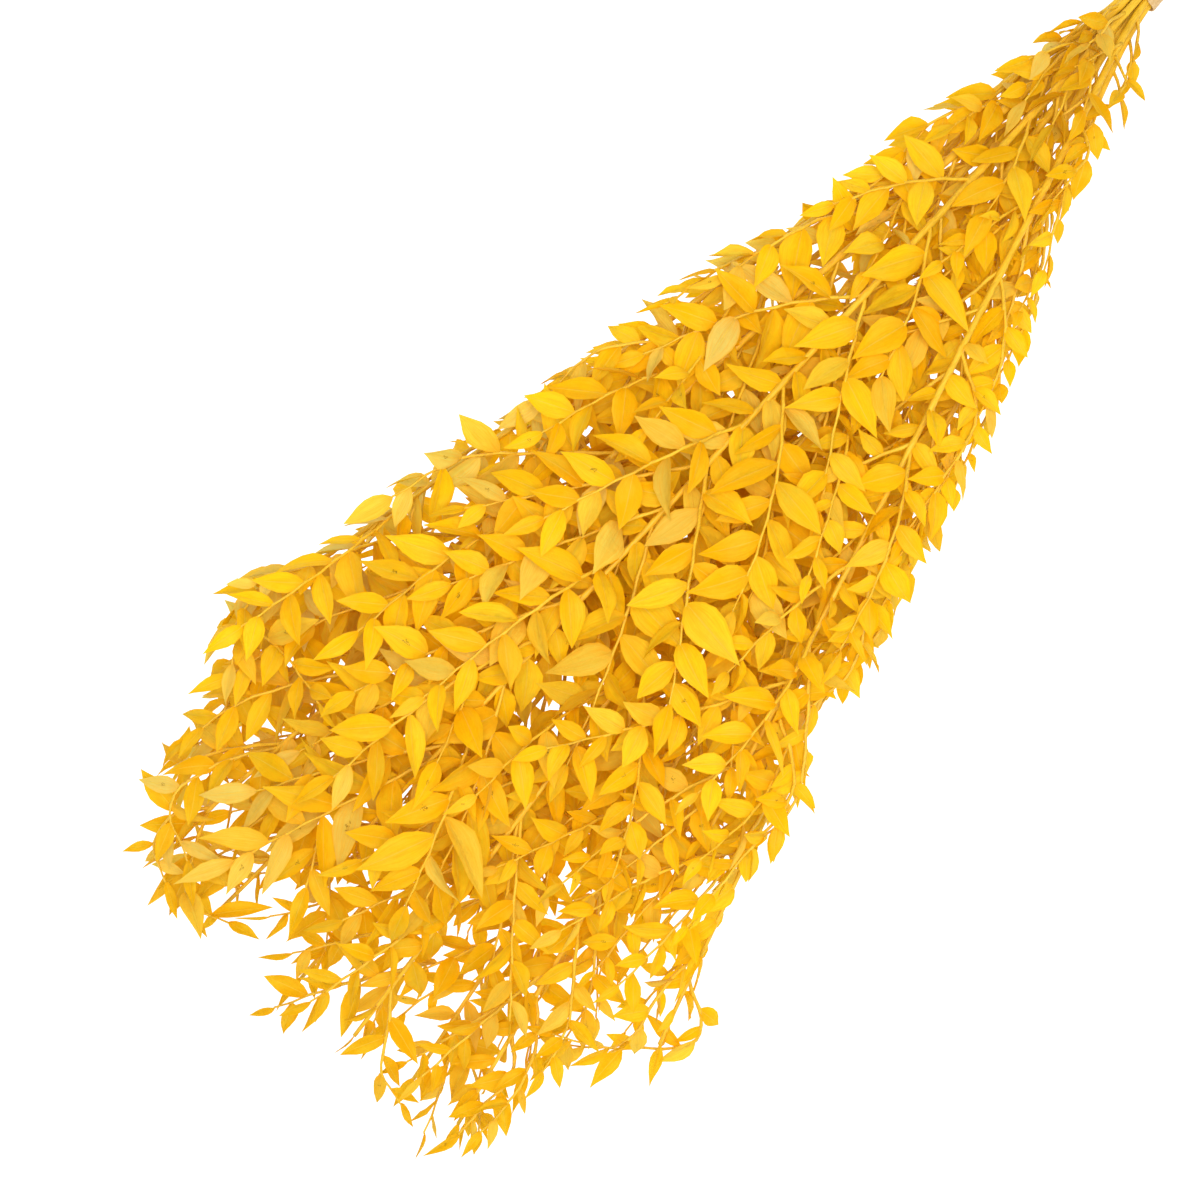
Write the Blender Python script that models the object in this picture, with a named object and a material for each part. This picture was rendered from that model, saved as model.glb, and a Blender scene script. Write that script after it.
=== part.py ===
"""A bunch of dried ruscus, dyed yellow, lying on a surface: twelve leafy stems held by one elastic band.

Lengths are in metres and +Z is up. The origin is on the flat underside of the band, +X runs along
the bunch from the band to the leaf tips, and Y runs across it.
"""

import math
import random
from itertools import product

import bmesh
import bpy
from mathutils import Matrix, Vector
from mathutils.bvhtree import BVHTree

# The bunch's outline, out to its leaf tips: each row is (distance from the band, left edge, right edge,
# height of the crown).
ENVELOPE = (
    (0.000, -0.011, 0.011, 0.022),
    (0.035, -0.015, 0.019, 0.034),
    (0.057, -0.024, 0.040, 0.042),
    (0.095, -0.037, 0.038, 0.048),
    (0.135, -0.049, 0.045, 0.056),
    (0.175, -0.054, 0.067, 0.064),
    (0.225, -0.069, 0.080, 0.074),
    (0.295, -0.091, 0.101, 0.089),
    (0.350, -0.103, 0.109, 0.102),
    (0.390, -0.112, 0.120, 0.113),
    (0.415, -0.127, 0.094, 0.119),
    (0.445, -0.131, 0.136, 0.124),
    (0.500, -0.139, 0.134, 0.127),
    (0.535, -0.148, 0.108, 0.128),
    (0.555, -0.172, 0.172, 0.128),
    (0.595, -0.146, 0.188, 0.122),
    (0.620, -0.140, 0.172, 0.114),
    (0.650, -0.142, 0.128, 0.107),
    (0.690, -0.120, 0.126, 0.092),
    (0.725, -0.072, 0.128, 0.076),
)
# Its far end: each row is (place across the bunch, how far the leaf tips reach there).
FAR_END = (
    (-0.163, 0.574),
    (-0.138, 0.640),
    (-0.118, 0.712),
    (-0.060, 0.702),
    (-0.043, 0.666),
    (-0.028, 0.706),
    (-0.004, 0.734),
    (0.044, 0.738),
    (0.060, 0.692),
    (0.076, 0.744),
    (0.118, 0.742),
    (0.130, 0.702),
    (0.142, 0.646),
    (0.186, 0.616),
)
WOOD_CELL = 0.016
LEAF_CELL = 0.036

# The stems: (place in the band, tip as x, y, z, height of the arch, size of the leaves). Places 0 to 8
# go round the outside of the bundle from the top by the left side, and 9 to 11 are in its middle.
STEMS = (
    (0, (0.610, -0.030, 0.080), 0.108, 1.20),
    (1, (0.680, -0.104, 0.046), 0.084, 1.14),
    (2, (0.562, -0.152, 0.040), 0.054, 1.00),
    (3, (0.630, -0.124, 0.020), 0.024, 0.96),
    (4, (0.692, -0.006, 0.018), 0.020, 0.92),
    (5, (0.694, 0.074, 0.020), 0.022, 0.90),
    (6, (0.596, 0.162, 0.022), 0.026, 0.80),
    (7, (0.544, 0.146, 0.046), 0.058, 0.78),
    (8, (0.496, 0.106, 0.074), 0.094, 0.84),
    (9, (0.690, 0.034, 0.058), 0.082, 1.00),
    (10, (0.690, -0.062, 0.036), 0.052, 1.02),
    (11, (0.694, 0.106, 0.038), 0.052, 0.86),
)
STEM_RADIUS = 0.0021
STEM_TIP_RADIUS = 0.0011
STEM_SIDES = 6
STEM_SPANS = 9
OUTER_STEMS = 9
INNER_STEMS = 3
OUTER_RING = 0.0069
INNER_RING = 0.00264
STRAIGHT_END = 0.010
CUT_ENDS_AT = -0.047
CUT_ENDS_SPREAD = 1.15

# The two handles of a stem's arch, as shares of its reach, of its way across and of its rise.
FIRST_HANDLE = (0.34, 0.28, 0.62)
SECOND_HANDLE = (0.72, 0.70, 1.30)

# The side twigs: each row is (distance from the band, length of a twig that starts there).
TWIG_LENGTHS = (
    (0.015, 0.034),
    (0.120, 0.070),
    (0.260, 0.112),
    (0.460, 0.120),
    (0.600, 0.082),
    (0.720, 0.046),
)
TWIG_LENGTH_VARIES = (0.82, 1.18)
SHORTER_TRY = 0.72
TWIGS_FROM = 0.018
TWIG_EVERY = 0.053
BARE_STEM_TIP = 0.030
TWIG_ROOT_RADIUS = 0.0011
TWIG_TIP_RADIUS = 0.0008
TWIG_SIDES = 3
TWIG_SPANS = 3
TWIG_ANGLES = (27, 50)
TWIG_TURN = 55
TWIG_FORWARD_BEND = 0.10
TWIG_DROOP = 0.06
TWIG_SWAY = 0.12
TWIG_LIFT = 0.08
TWIG_TRIES = 14
TWIG_CLEARANCE = 0.0032
TWIG_STRAYS = (-0.006, 0.006)
LENGTH_COUNTS = 0.06
SAMPLE_EVERY = 0.003
SAMPLES_AT_ROOT = 4
FLOOR_CLEARANCE = 0.005
EDGE_CLEARANCE = 0.014
NARROW_SHARE = 0.40

# The leaves: one every 10 mm, on alternate sides. Of every eight, the solids carry the two picked here.
LEAF_EVERY = 0.010
LEAF_CYCLE = 8
LEAVES_PICKED = (0, 3)
BARE_TWIG_ROOT = 0.014
BARE_STEM_SHARE = 0.45
LEAF_LENGTHS = (0.0240, 0.0340)
TWIG_LEAF_SIZES = (0.84, 1.16)
TWIG_LEAN = 0.55
SMALLEST_AT_TIP = 0.72
GROWN_BY = 5
TERMINAL_SHAPE = 0.80
LEAF_THICKNESS = 0.0011
LEAF_ANGLES = (36, 64)
TIP_ANGLE_SHARE = 0.66
TERMINAL_ANGLES = (0, 10)
LEAF_LIFT = 0.40
LEAF_ROLL = 48
LEAF_FOLDS = (0.12, 0.58)
LEAF_ARCHES = (-0.08, 0.24)
FACING_OUTWARD = 0.5
FACING_SPREAD = 0.28
LEAF_TRIES = 12
WIDER_SPREAD = 0.06
SMALLER_TRY = 0.025
LEAF_CLEARANCE = 0.00035
UNTESTED_NECK = 0.0030
EDGE_SLACK = 0.003
CROWN_SLACK = 0.010
TURNS_OFF_FLOOR = 12
# How wide the leaves are for their length: each row is (distance from the band, narrowest, widest).
LEAF_SHAPES = (
    (0.000, 0.41, 0.52),
    (0.480, 0.41, 0.52),
    (0.720, 0.28, 0.38),
)

# Each twig and each leaf has a seed of its own, so that a change to one leaves the others as they are.
STEM_TWIG_SEEDS = 1000
LEAF_SEED = 1000000
STEM_LEAF_SEEDS = 10000
TWIG_LEAF_SEEDS = 100

# A leaf's outline: its widest place, its shoulder nearer the tip, and the thickest place of its rib.
WIDEST_AT = 0.38
SHOULDER_AT = 0.70
SHOULDER_WIDTH = 0.64
RIB_AT = 0.38

# The elastic band: three turns side by side, with a flat underside that the bunch rests on.
BAND_TURNS = 3
BAND_TURN_WIDTH = 0.0036
BAND_WALL = 0.0016
BAND_GROOVE = 0.0007
BAND_ROUNDING = 0.0005
BAND_FLAT = 0.0004
BAND_SEGMENTS = 24
GAP = 0.0003
BAND_INSIDE = OUTER_RING + STEM_RADIUS + GAP
BAND_AXIS_Z = BAND_INSIDE + BAND_WALL - BAND_FLAT

LEAF_YELLOW = (1.0, 0.584, 0.019, 1.0)
LEAF_ROUGHNESS = 0.55
LEAF_SHARP_ABOVE = 40
BAND_TAN = (0.578, 0.386, 0.162, 1.0)
BAND_ROUGHNESS = 0.6
BAND_SHARP_ABOVE = 30
UP = Vector((0, 0, 1))


def clear_scene():
    for obj in list(bpy.data.objects):
        bpy.data.objects.remove(obj, do_unlink=True)


def material(name, colour, roughness):
    made = bpy.data.materials.new(name)
    made.use_nodes = True
    shader = made.node_tree.nodes["Principled BSDF"]
    shader.inputs["Base Color"].default_value = colour
    shader.inputs["Roughness"].default_value = roughness
    shader.inputs["Metallic"].default_value = 0.0
    made.diffuse_color = colour
    return made


def read_row(table, x):
    """The values of a table at x, on straight lines between its rows."""
    x = min(max(x, table[0][0]), table[-1][0])
    for before, after in zip(table, table[1:]):
        if x <= after[0]:
            share = (x - before[0]) / (after[0] - before[0])
            return [a + (b - a) * share for a, b in zip(before[1:], after[1:])]


def line_length(points):
    return sum((b - a).length for a, b in zip(points, points[1:]))


def point_along(points, distance):
    """The point and the direction at a distance along a line of points."""
    for before, after in zip(points, points[1:]):
        span = (after - before).length
        if distance <= span:
            return before.lerp(after, distance / span), (after - before).normalized()
        distance -= span
    return points[-1].copy(), (points[-1] - points[-2]).normalized()


class Cells:
    """Things kept by the cell of space that they are in, so that only near ones are compared."""

    def __init__(self, size):
        self.size = size
        self.held = {}

    def key(self, point):
        return tuple(math.floor(c / self.size) for c in point)

    def add(self, point, thing):
        self.held.setdefault(self.key(point), []).append(thing)

    def near(self, point):
        for key in product(*[(c - 1, c, c + 1) for c in self.key(point)]):
            yield from self.held.get(key, ())


def place_in_band(place):
    """Where a stem passes through the band: nine stems round three."""
    if place < OUTER_STEMS:
        radius = OUTER_RING
        angle = math.radians(90 + 360 / OUTER_STEMS * place)
    else:
        radius = INNER_RING
        angle = math.radians(90 + 360 / INNER_STEMS * (place - OUTER_STEMS))
    return radius * math.cos(angle), radius * math.sin(angle)


def stem_line(place, tip, arch):
    """A main stem: straight through the band, then one arch out to its tip."""
    across, up = place_in_band(place)
    start = Vector((STRAIGHT_END, across, BAND_AXIS_Z + up))
    tip = Vector(tip)
    way = Vector((tip.x, tip.y - across, arch - start.z))
    base = Vector((0, across, start.z))
    handles = [base + way * Vector(shares) for shares in (FIRST_HANDLE, SECOND_HANDLE)]
    cut_end = Vector((CUT_ENDS_AT, CUT_ENDS_SPREAD * across, BAND_AXIS_Z + CUT_ENDS_SPREAD * up))
    points = [cut_end, Vector((-STRAIGHT_END, across, start.z)), start]
    arched = STEM_SPANS - 2
    for step in range(1, arched + 1):
        t = step / arched
        ends = (1 - t) ** 3 * start + t**3 * tip
        points.append(ends + 3 * t * (1 - t) ** 2 * handles[0] + 3 * t * t * (1 - t) * handles[1])
    return points


def stem_radii(points):
    shares = [max(0.0, point.x / points[-1].x) for point in points]
    return [STEM_RADIUS + (STEM_TIP_RADIUS - STEM_RADIUS) * share for share in shares]


def twig_radii():
    shares = [k / TWIG_SPANS for k in range(TWIG_SPANS + 1)]
    return [TWIG_ROOT_RADIUS + (TWIG_TIP_RADIUS - TWIG_ROOT_RADIUS) * share for share in shares]


def twig_line(root, trunk, side, length, stray, rng):
    """A side twig: it leaves the stem at an angle, bends forward and stays near the outline."""
    across = UP.cross(trunk).normalized()
    angle = math.radians(rng.uniform(*TWIG_ANGLES))
    turn = math.radians(rng.uniform(-TWIG_TURN, TWIG_TURN))
    outward = side * across * math.cos(turn) + trunk.cross(across) * math.sin(turn)
    heading = trunk * math.cos(angle) + outward * math.sin(angle)
    lift = rng.uniform(-TWIG_LIFT, TWIG_LIFT) - TWIG_DROOP
    bend = Vector((TWIG_FORWARD_BEND, rng.uniform(-TWIG_SWAY, TWIG_SWAY), lift))
    points = [root]
    step = length / TWIG_SPANS
    for _ in range(TWIG_SPANS):
        ahead = points[-1] + (heading + bend).normalized() * step
        left, right, crown = read_row(ENVELOPE, ahead.x + EDGE_CLEARANCE)
        leaf_room = min(EDGE_CLEARANCE, NARROW_SHARE * right) - stray
        ahead.x = min(ahead.x, read_row(FAR_END, ahead.y)[0] - leaf_room)
        ahead.y = min(max(ahead.y, left + leaf_room), right - leaf_room)
        ahead.z = min(max(ahead.z, FLOOR_CLEARANCE), crown)
        heading = (ahead - points[-1]).normalized()
        points.append(points[-1] + heading * step)
    return points


def samples(points, radii):
    """Points with radii along a twig or stem, close enough together to measure distances by."""
    found = []
    for a, b, start, end in zip(points, points[1:], radii, radii[1:]):
        count = math.ceil((b - a).length / SAMPLE_EVERY)
        for k in range(count):
            found.append((a.lerp(b, k / count), start + (end - start) * k / count))
    found.append((points[-1], radii[-1]))
    return found


def add_wood(wood, number, points, radii):
    for point, radius in samples(points, radii):
        wood.add(point, (point, radius, number))


def room_round(wood, number, points, radii):
    """The least gap from a twig to the wood of other stems, and its mean gap to all wood."""
    least = WOOD_CELL
    total = 0.0
    tested = samples(points, radii)[SAMPLES_AT_ROOT:]
    for point, radius in tested:
        nearest = WOOD_CELL
        for other, other_radius, owner in wood.near(point):
            gap = (other - point).length - radius - other_radius
            nearest = min(nearest, gap)
            if owner != number:
                least = min(least, gap)
        total += nearest
    return least, total / len(tested)


def best_twig(wood, number, root, trunk, side, rng):
    """Of several tries at a twig, the one with most room round it, or None if all are too close."""
    best = None
    stray = rng.uniform(*TWIG_STRAYS)
    for attempt in range(TWIG_TRIES):
        length = read_row(TWIG_LENGTHS, root.x)[0] * rng.uniform(*TWIG_LENGTH_VARIES)
        if attempt >= TWIG_TRIES // 2:
            length *= SHORTER_TRY
        points = twig_line(root, trunk, side, length, stray, rng)
        least, mean = room_round(wood, number, points, twig_radii())
        score = mean + LENGTH_COUNTS * length
        if least > TWIG_CLEARANCE and (best is None or score > best[0]):
            best = (score, points)
    return best and best[1]


def grow_wood():
    """The lines of all stems, and for each stem the lines of its twigs."""
    wood = Cells(WOOD_CELL)
    stems = [stem_line(place, tip, arch) for place, tip, arch, _ in STEMS]
    for number, line in enumerate(stems):
        add_wood(wood, number, line, stem_radii(line))
    twigs = [[] for _ in stems]
    longest = max(line_length(line) for line in stems)
    for place in range(int(longest / TWIG_EVERY)):
        for number, line in enumerate(stems):
            rng = random.Random(STEM_TWIG_SEEDS * number + place)
            distance = -CUT_ENDS_AT + TWIGS_FROM + TWIG_EVERY * (place + rng.uniform(0, 0.5))
            if distance > line_length(line) - BARE_STEM_TIP:
                continue
            root, trunk = point_along(line, distance)
            side = 1 if (place + number) % 2 else -1
            points = best_twig(wood, number, root, trunk, side, rng)
            if points:
                twigs[number].append(points)
                add_wood(wood, number, points, twig_radii())
    return stems, twigs


class Leaf:
    """One leaf: where it grows, which way it points and faces, and its form."""

    def __init__(self, base, along, normal, length, width, fold, arch):
        self.base = base
        self.along = along
        self.normal = (normal - along * normal.dot(along)).normalized()
        self.length = length
        self.width = width
        self.fold = fold
        self.arch = arch

    def at(self, u, v, lift=0.0):
        """A point of the leaf: u from base to tip, v from the left edge at -1 to the right at 1."""
        height = self.fold * abs(v) * self.width / 2 - self.arch * self.length * u * u + lift
        side = self.normal.cross(self.along)
        return self.base + self.along * u * self.length + side * v * self.width / 2 + self.normal * height

    def rim(self, grow=0.0):
        more = grow / (self.width / 2)
        widest = 1 + more
        shoulder = SHOULDER_WIDTH + more
        return [
            self.at(WIDEST_AT, widest),
            self.at(SHOULDER_AT, shoulder),
            self.at(1 + grow / self.length, 0),
            self.at(SHOULDER_AT, -shoulder),
            self.at(WIDEST_AT, -widest),
        ]

    def closed(self, rim, half_thickness):
        """Corners and triangles of a blade: a fan from the rib to the rim on each face."""
        ribs = [self.at(RIB_AT, 0, half_thickness), self.at(RIB_AT, 0, -half_thickness)]
        ring = list(range(len(rim)))
        pairs = list(zip(ring, ring[1:] + ring[:1]))
        return rim + ribs, [(len(rim) + face, a, b) for face in (0, 1) for a, b in pairs]

    def blade(self):
        return self.closed([self.base] + self.rim(), LEAF_THICKNESS / 2)

    def shell(self):
        """The leaf a little grown all round, from just outside its twig, to test for room."""
        start = UNTESTED_NECK / self.length
        neck = start / WIDEST_AT + LEAF_CLEARANCE / (self.width / 2)
        rim = [self.at(start, neck)] + self.rim(LEAF_CLEARANCE) + [self.at(start, -neck)]
        return self.closed(rim, LEAF_THICKNESS / 2 + LEAF_CLEARANCE)

    def raise_off_floor(self):
        """Turns the leaf up about its base until no corner is below the surface it lies on."""
        for _ in range(TURNS_OFF_FLOOR):
            lowest = min(self.blade()[0], key=lambda point: point.z)
            if lowest.z >= -1e-6:
                return
            reach = Vector((lowest.x - self.base.x, lowest.y - self.base.y, 0))
            angle = -lowest.z / max(reach.length, self.length / 3)
            turn = Matrix.Rotation(angle, 3, reach.cross(UP).normalized())
            self.along = turn @ self.along
            self.normal = turn @ self.normal


def fits(leaf, foliage, wood_tree):
    """Whether a leaf is above the floor, inside the outline and clear of all wood and other leaves."""
    points, faces = leaf.shell()
    if min(point.z for point in points) < -2 * LEAF_CLEARANCE:
        return False
    tip = leaf.at(1, 0)
    left, right, crown = read_row(ENVELOPE, tip.x)
    far = read_row(FAR_END, tip.y)[0]
    inside = min(left, leaf.base.y) - EDGE_SLACK < tip.y < max(right, leaf.base.y) + EDGE_SLACK
    if not inside or tip.x > max(far, leaf.base.x) + EDGE_SLACK or tip.z > crown + CROWN_SLACK:
        return False
    shell = BVHTree.FromPolygons(points, faces)
    if shell.overlap(wood_tree):
        return False
    return not any(shell.overlap(other) for other in foliage.near(leaf.at(0.5, 0)))


def leaf_tries(line, distance, from_tip, scale, lean, rng):
    """Ways to set one leaf on its twig, from the likeliest on."""
    base, ahead = point_along(line, distance)
    left, right, crown = read_row(ENVELOPE, base.x)
    bulge = Vector((0, 2 * base.y / (right - left), 2 * base.z / crown - 1))
    usual = UP + FACING_OUTWARD * bulge + lean
    side = 1 if from_tip % 2 else -1
    grown = min(1.0, from_tip / GROWN_BY)
    size = scale * rng.uniform(*LEAF_LENGTHS) * (SMALLEST_AT_TIP + (1 - SMALLEST_AT_TIP) * grown)
    shape = rng.uniform(*read_row(LEAF_SHAPES, base.x)) * (1.0 if from_tip else TERMINAL_SHAPE)
    for attempt in range(LEAF_TRIES):
        spread = FACING_SPREAD + WIDER_SPREAD * attempt
        facing = usual + Vector([rng.uniform(-spread, spread) for _ in range(3)])
        across = facing.cross(ahead).normalized()
        plane = ahead.cross(across)
        angle = rng.uniform(*LEAF_ANGLES) * (TIP_ANGLE_SHARE + (1 - TIP_ANGLE_SHARE) * grown)
        angle = math.radians(angle if from_tip else rng.uniform(*TERMINAL_ANGLES))
        along = ahead * math.cos(angle) + side * across * math.sin(angle)
        along = (along + plane * rng.uniform(-LEAF_LIFT, LEAF_LIFT)).normalized()
        roll = Matrix.Rotation(math.radians(rng.uniform(-LEAF_ROLL, LEAF_ROLL)), 3, along)
        length = size * (1 - SMALLER_TRY * attempt)
        fold = rng.uniform(*LEAF_FOLDS)
        arch = rng.uniform(*LEAF_ARCHES)
        yield Leaf(base, along, roll @ plane, length, length * shape, fold, arch)


def set_leaf(foliage, wood_tree, tries):
    """The first try that fits, put in its place, or None."""
    for leaf in tries:
        leaf.raise_off_floor()
        if fits(leaf, foliage, wood_tree):
            foliage.add(leaf.at(0.5, 0), BVHTree.FromPolygons(*leaf.blade()))
            return leaf


def leaf_places(number, line, twigs):
    """For each leaf of a stem: the line it grows on, how far along, its count from the tip, its size, the
    way that its twig leans, and its own seed."""
    lines = [(twig, BARE_TWIG_ROOT) for twig in twigs]
    lines.append((line, BARE_STEM_SHARE * line_length(line)))
    for place, (leafy, first) in enumerate(lines):
        seed = LEAF_SEED + STEM_LEAF_SEEDS * number + TWIG_LEAF_SEEDS * place
        rng = random.Random(seed)
        lean = Vector([rng.uniform(-TWIG_LEAN, TWIG_LEAN) for _ in range(3)])
        scale = STEMS[number][3] * rng.uniform(*TWIG_LEAF_SIZES)
        end = line_length(leafy) - SAMPLE_EVERY / 3
        for from_tip in range(int((end - first) / LEAF_EVERY) + 1):
            yield leafy, end - LEAF_EVERY * from_tip, from_tip, scale, lean, seed + 1 + from_tip


def grow_leaves(stems, twigs, wood_tree):
    """The leaves that the solids carry, for each stem."""
    foliage = Cells(LEAF_CELL)
    leaves = [[] for _ in stems]
    for number, line in enumerate(stems):
        for leafy, distance, from_tip, scale, lean, seed in leaf_places(number, line, twigs[number]):
            if from_tip % LEAF_CYCLE in LEAVES_PICKED:
                tries = leaf_tries(leafy, distance, from_tip, scale, lean, random.Random(seed))
                leaves[number].append(set_leaf(foliage, wood_tree, tries))
    return [[leaf for leaf in grown if leaf] for grown in leaves]


def tube(points, radii, sides):
    """A closed tapering tube along the points, swept from a ring."""
    tangents = [(b - a).normalized() for a, b in zip(points, points[1:])]
    tangents.append(tangents[-1])
    across = tangents[0].orthogonal().normalized()
    places = []
    for k, (point, radius) in enumerate(zip(points, radii)):
        ahead = (tangents[max(k - 1, 0)] + tangents[k]).normalized()
        across = (across - ahead * across.dot(ahead)).normalized()
        turned = Matrix((across, ahead.cross(across), ahead)).transposed().to_4x4()
        places.append(Matrix.Translation(point) @ turned @ Matrix.Scale(radius, 4))
    bm = bmesh.new()
    ring = bmesh.ops.create_circle(bm, cap_ends=True, segments=sides, radius=1.0, matrix=places[0])
    edges = list({edge for vert in ring["verts"] for edge in vert.link_edges})
    for before, after in zip(places, places[1:]):
        grown = bmesh.ops.extrude_edge_only(bm, edges=edges)["geom"]
        verts = [item for item in grown if isinstance(item, bmesh.types.BMVert)]
        edges = [item for item in grown if isinstance(item, bmesh.types.BMEdge)]
        bmesh.ops.transform(bm, matrix=after @ before.inverted(), verts=verts)
    bmesh.ops.edgeloop_fill(bm, edges=edges)
    bmesh.ops.recalc_face_normals(bm, faces=bm.faces)
    return bm


def leaf_blade(leaf):
    points, faces = leaf.blade()
    bm = bmesh.new()
    verts = [bm.verts.new(point) for point in points]
    for face in faces:
        bm.faces.new([verts[index] for index in face])
    bmesh.ops.recalc_face_normals(bm, faces=bm.faces)
    return bm


def add_object(name, bm, collection):
    mesh = bpy.data.meshes.new(name)
    bm.to_mesh(mesh)
    bm.free()
    obj = bpy.data.objects.new(name, mesh)
    collection.objects.link(obj)
    return obj


def search_tree(lines):
    """One search tree of the surfaces of many tubes."""
    points = []
    faces = []
    for line, radii, sides in lines:
        bm = tube(line, radii, sides)
        faces += [[len(points) + vert.index for vert in face.verts] for face in bm.faces]
        points += [vert.co.copy() for vert in bm.verts]
        bm.free()
    return BVHTree.FromPolygons(points, faces)


def finish_surface(obj, look, sharp):
    obj.data.shade_smooth()
    obj.data.set_sharp_from_angle(angle=math.radians(sharp))
    obj.data.materials.append(look)


def leafy_stem(name, line, twigs, leaves, look):
    """A main stem with its twigs and leaves joined to it by one union."""
    node = add_object(name, tube(line, stem_radii(line), STEM_SIDES), bpy.context.scene.collection)
    growth = bpy.data.collections.new(name + "_growth")
    bpy.context.scene.collection.children.link(growth)
    for twig in twigs:
        add_object("twig", tube(twig, twig_radii(), TWIG_SIDES), growth)
    for leaf in leaves:
        add_object("leaf", leaf_blade(leaf), growth)
    union = node.modifiers.new("Union", "BOOLEAN")
    union.operation = "UNION"
    union.operand_type = "COLLECTION"
    union.collection = growth
    graph = bpy.context.evaluated_depsgraph_get()
    fused = bpy.data.meshes.new_from_object(node.evaluated_get(graph))
    node.modifiers.clear()
    node.data = fused
    for obj in list(growth.objects):
        bpy.data.objects.remove(obj, do_unlink=True)
    bpy.data.collections.remove(growth)
    fused.materials.clear()
    finish_surface(node, look, LEAF_SHARP_ABOVE)


def band_profile():
    """The band's cross-section as (x, radius): three turns with rounded edges and grooves between."""
    outside = BAND_INSIDE + BAND_WALL
    start = -BAND_TURNS * BAND_TURN_WIDTH / 2
    profile = [(start, BAND_INSIDE)]
    for turn in range(BAND_TURNS):
        left = start + turn * BAND_TURN_WIDTH
        profile.append((left, outside - BAND_GROOVE))
        profile.append((left + BAND_ROUNDING, outside))
        profile.append((left + BAND_TURN_WIDTH - BAND_ROUNDING, outside))
    profile.append((-start, outside - BAND_GROOVE))
    profile.append((-start, BAND_INSIDE))
    return profile


def elastic_band(look):
    """The band round the stems, turned about X and cut flat underneath."""
    bm = bmesh.new()
    verts = [bm.verts.new((x, 0, radius)) for x, radius in band_profile()]
    edges = [bm.edges.new(pair) for pair in zip(verts, verts[1:] + verts[:1])]
    bmesh.ops.spin(
        bm, geom=verts + edges, axis=(1, 0, 0), angle=math.tau, steps=BAND_SEGMENTS, use_merge=True
    )
    bmesh.ops.translate(bm, vec=(0, 0, BAND_AXIS_Z), verts=bm.verts)
    everything = bm.verts[:] + bm.edges[:] + bm.faces[:]
    cut = bmesh.ops.bisect_plane(bm, geom=everything, plane_no=(0, 0, -1), clear_outer=True)
    edges = [item for item in cut["geom_cut"] if isinstance(item, bmesh.types.BMEdge)]
    bmesh.ops.edgeloop_fill(bm, edges=edges)
    bmesh.ops.recalc_face_normals(bm, faces=bm.faces)
    finish_surface(add_object("elastic_band", bm, bpy.context.scene.collection), look, BAND_SHARP_ABOVE)


def main():
    clear_scene()
    leaf_look = material("dyed_ruscus", LEAF_YELLOW, LEAF_ROUGHNESS)
    band_look = material("natural_rubber", BAND_TAN, BAND_ROUGHNESS)
    stems, twigs = grow_wood()
    lines = [(line, stem_radii(line), STEM_SIDES) for line in stems]
    lines += [(twig, twig_radii(), TWIG_SIDES) for grown in twigs for twig in grown]
    leaves = grow_leaves(stems, twigs, search_tree(lines))
    for number, line in enumerate(stems):
        leafy_stem("leafy_stem_{:02d}".format(number + 1), line, twigs[number], leaves[number], leaf_look)
    elastic_band(band_look)


main()
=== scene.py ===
"""The finished look of a bunch of dried ruscus, dyed yellow, on the frame of its stems and band.

Lengths are in metres. +X runs along the bunch from the band to the leaf tips, Y across it and Z up.
Each stem grows by the rules and the seeds of its solid, then carries all its leaves and not a few.
"""

import copy
import math
import random
from itertools import product

import bmesh
import bpy
from mathutils import Matrix, Vector
from mathutils.bvhtree import BVHTree


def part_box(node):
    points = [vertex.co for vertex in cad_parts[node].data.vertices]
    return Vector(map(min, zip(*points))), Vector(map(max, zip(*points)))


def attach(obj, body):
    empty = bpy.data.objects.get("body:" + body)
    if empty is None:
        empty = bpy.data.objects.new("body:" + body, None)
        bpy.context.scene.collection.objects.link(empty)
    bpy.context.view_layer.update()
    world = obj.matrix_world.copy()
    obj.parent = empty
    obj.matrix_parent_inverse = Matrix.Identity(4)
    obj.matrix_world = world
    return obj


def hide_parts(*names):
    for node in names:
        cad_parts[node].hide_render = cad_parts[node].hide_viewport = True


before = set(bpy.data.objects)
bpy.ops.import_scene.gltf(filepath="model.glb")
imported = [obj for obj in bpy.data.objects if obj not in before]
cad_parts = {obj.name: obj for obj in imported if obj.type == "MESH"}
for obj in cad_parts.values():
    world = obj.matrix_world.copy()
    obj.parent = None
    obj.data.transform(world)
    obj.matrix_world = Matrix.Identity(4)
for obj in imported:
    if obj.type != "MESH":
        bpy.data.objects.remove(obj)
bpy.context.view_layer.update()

BODY = "root"
BAND_NODE = "elastic_band"
UP = Vector((0, 0, 1))

# The bunch's outline, out to its leaf tips: each row is (distance from the band, left edge, right edge,
# height of the crown).
ENVELOPE = (
    (0.000, -0.011, 0.011, 0.022),
    (0.035, -0.015, 0.019, 0.034),
    (0.057, -0.024, 0.040, 0.042),
    (0.095, -0.037, 0.038, 0.048),
    (0.135, -0.049, 0.045, 0.056),
    (0.175, -0.054, 0.067, 0.064),
    (0.225, -0.069, 0.080, 0.074),
    (0.295, -0.091, 0.101, 0.089),
    (0.350, -0.103, 0.109, 0.102),
    (0.390, -0.112, 0.120, 0.113),
    (0.415, -0.127, 0.094, 0.119),
    (0.445, -0.131, 0.136, 0.124),
    (0.500, -0.139, 0.134, 0.127),
    (0.535, -0.148, 0.108, 0.128),
    (0.555, -0.172, 0.172, 0.128),
    (0.595, -0.146, 0.188, 0.122),
    (0.620, -0.140, 0.172, 0.114),
    (0.650, -0.142, 0.128, 0.107),
    (0.690, -0.120, 0.126, 0.092),
    (0.725, -0.072, 0.128, 0.076),
)
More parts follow.
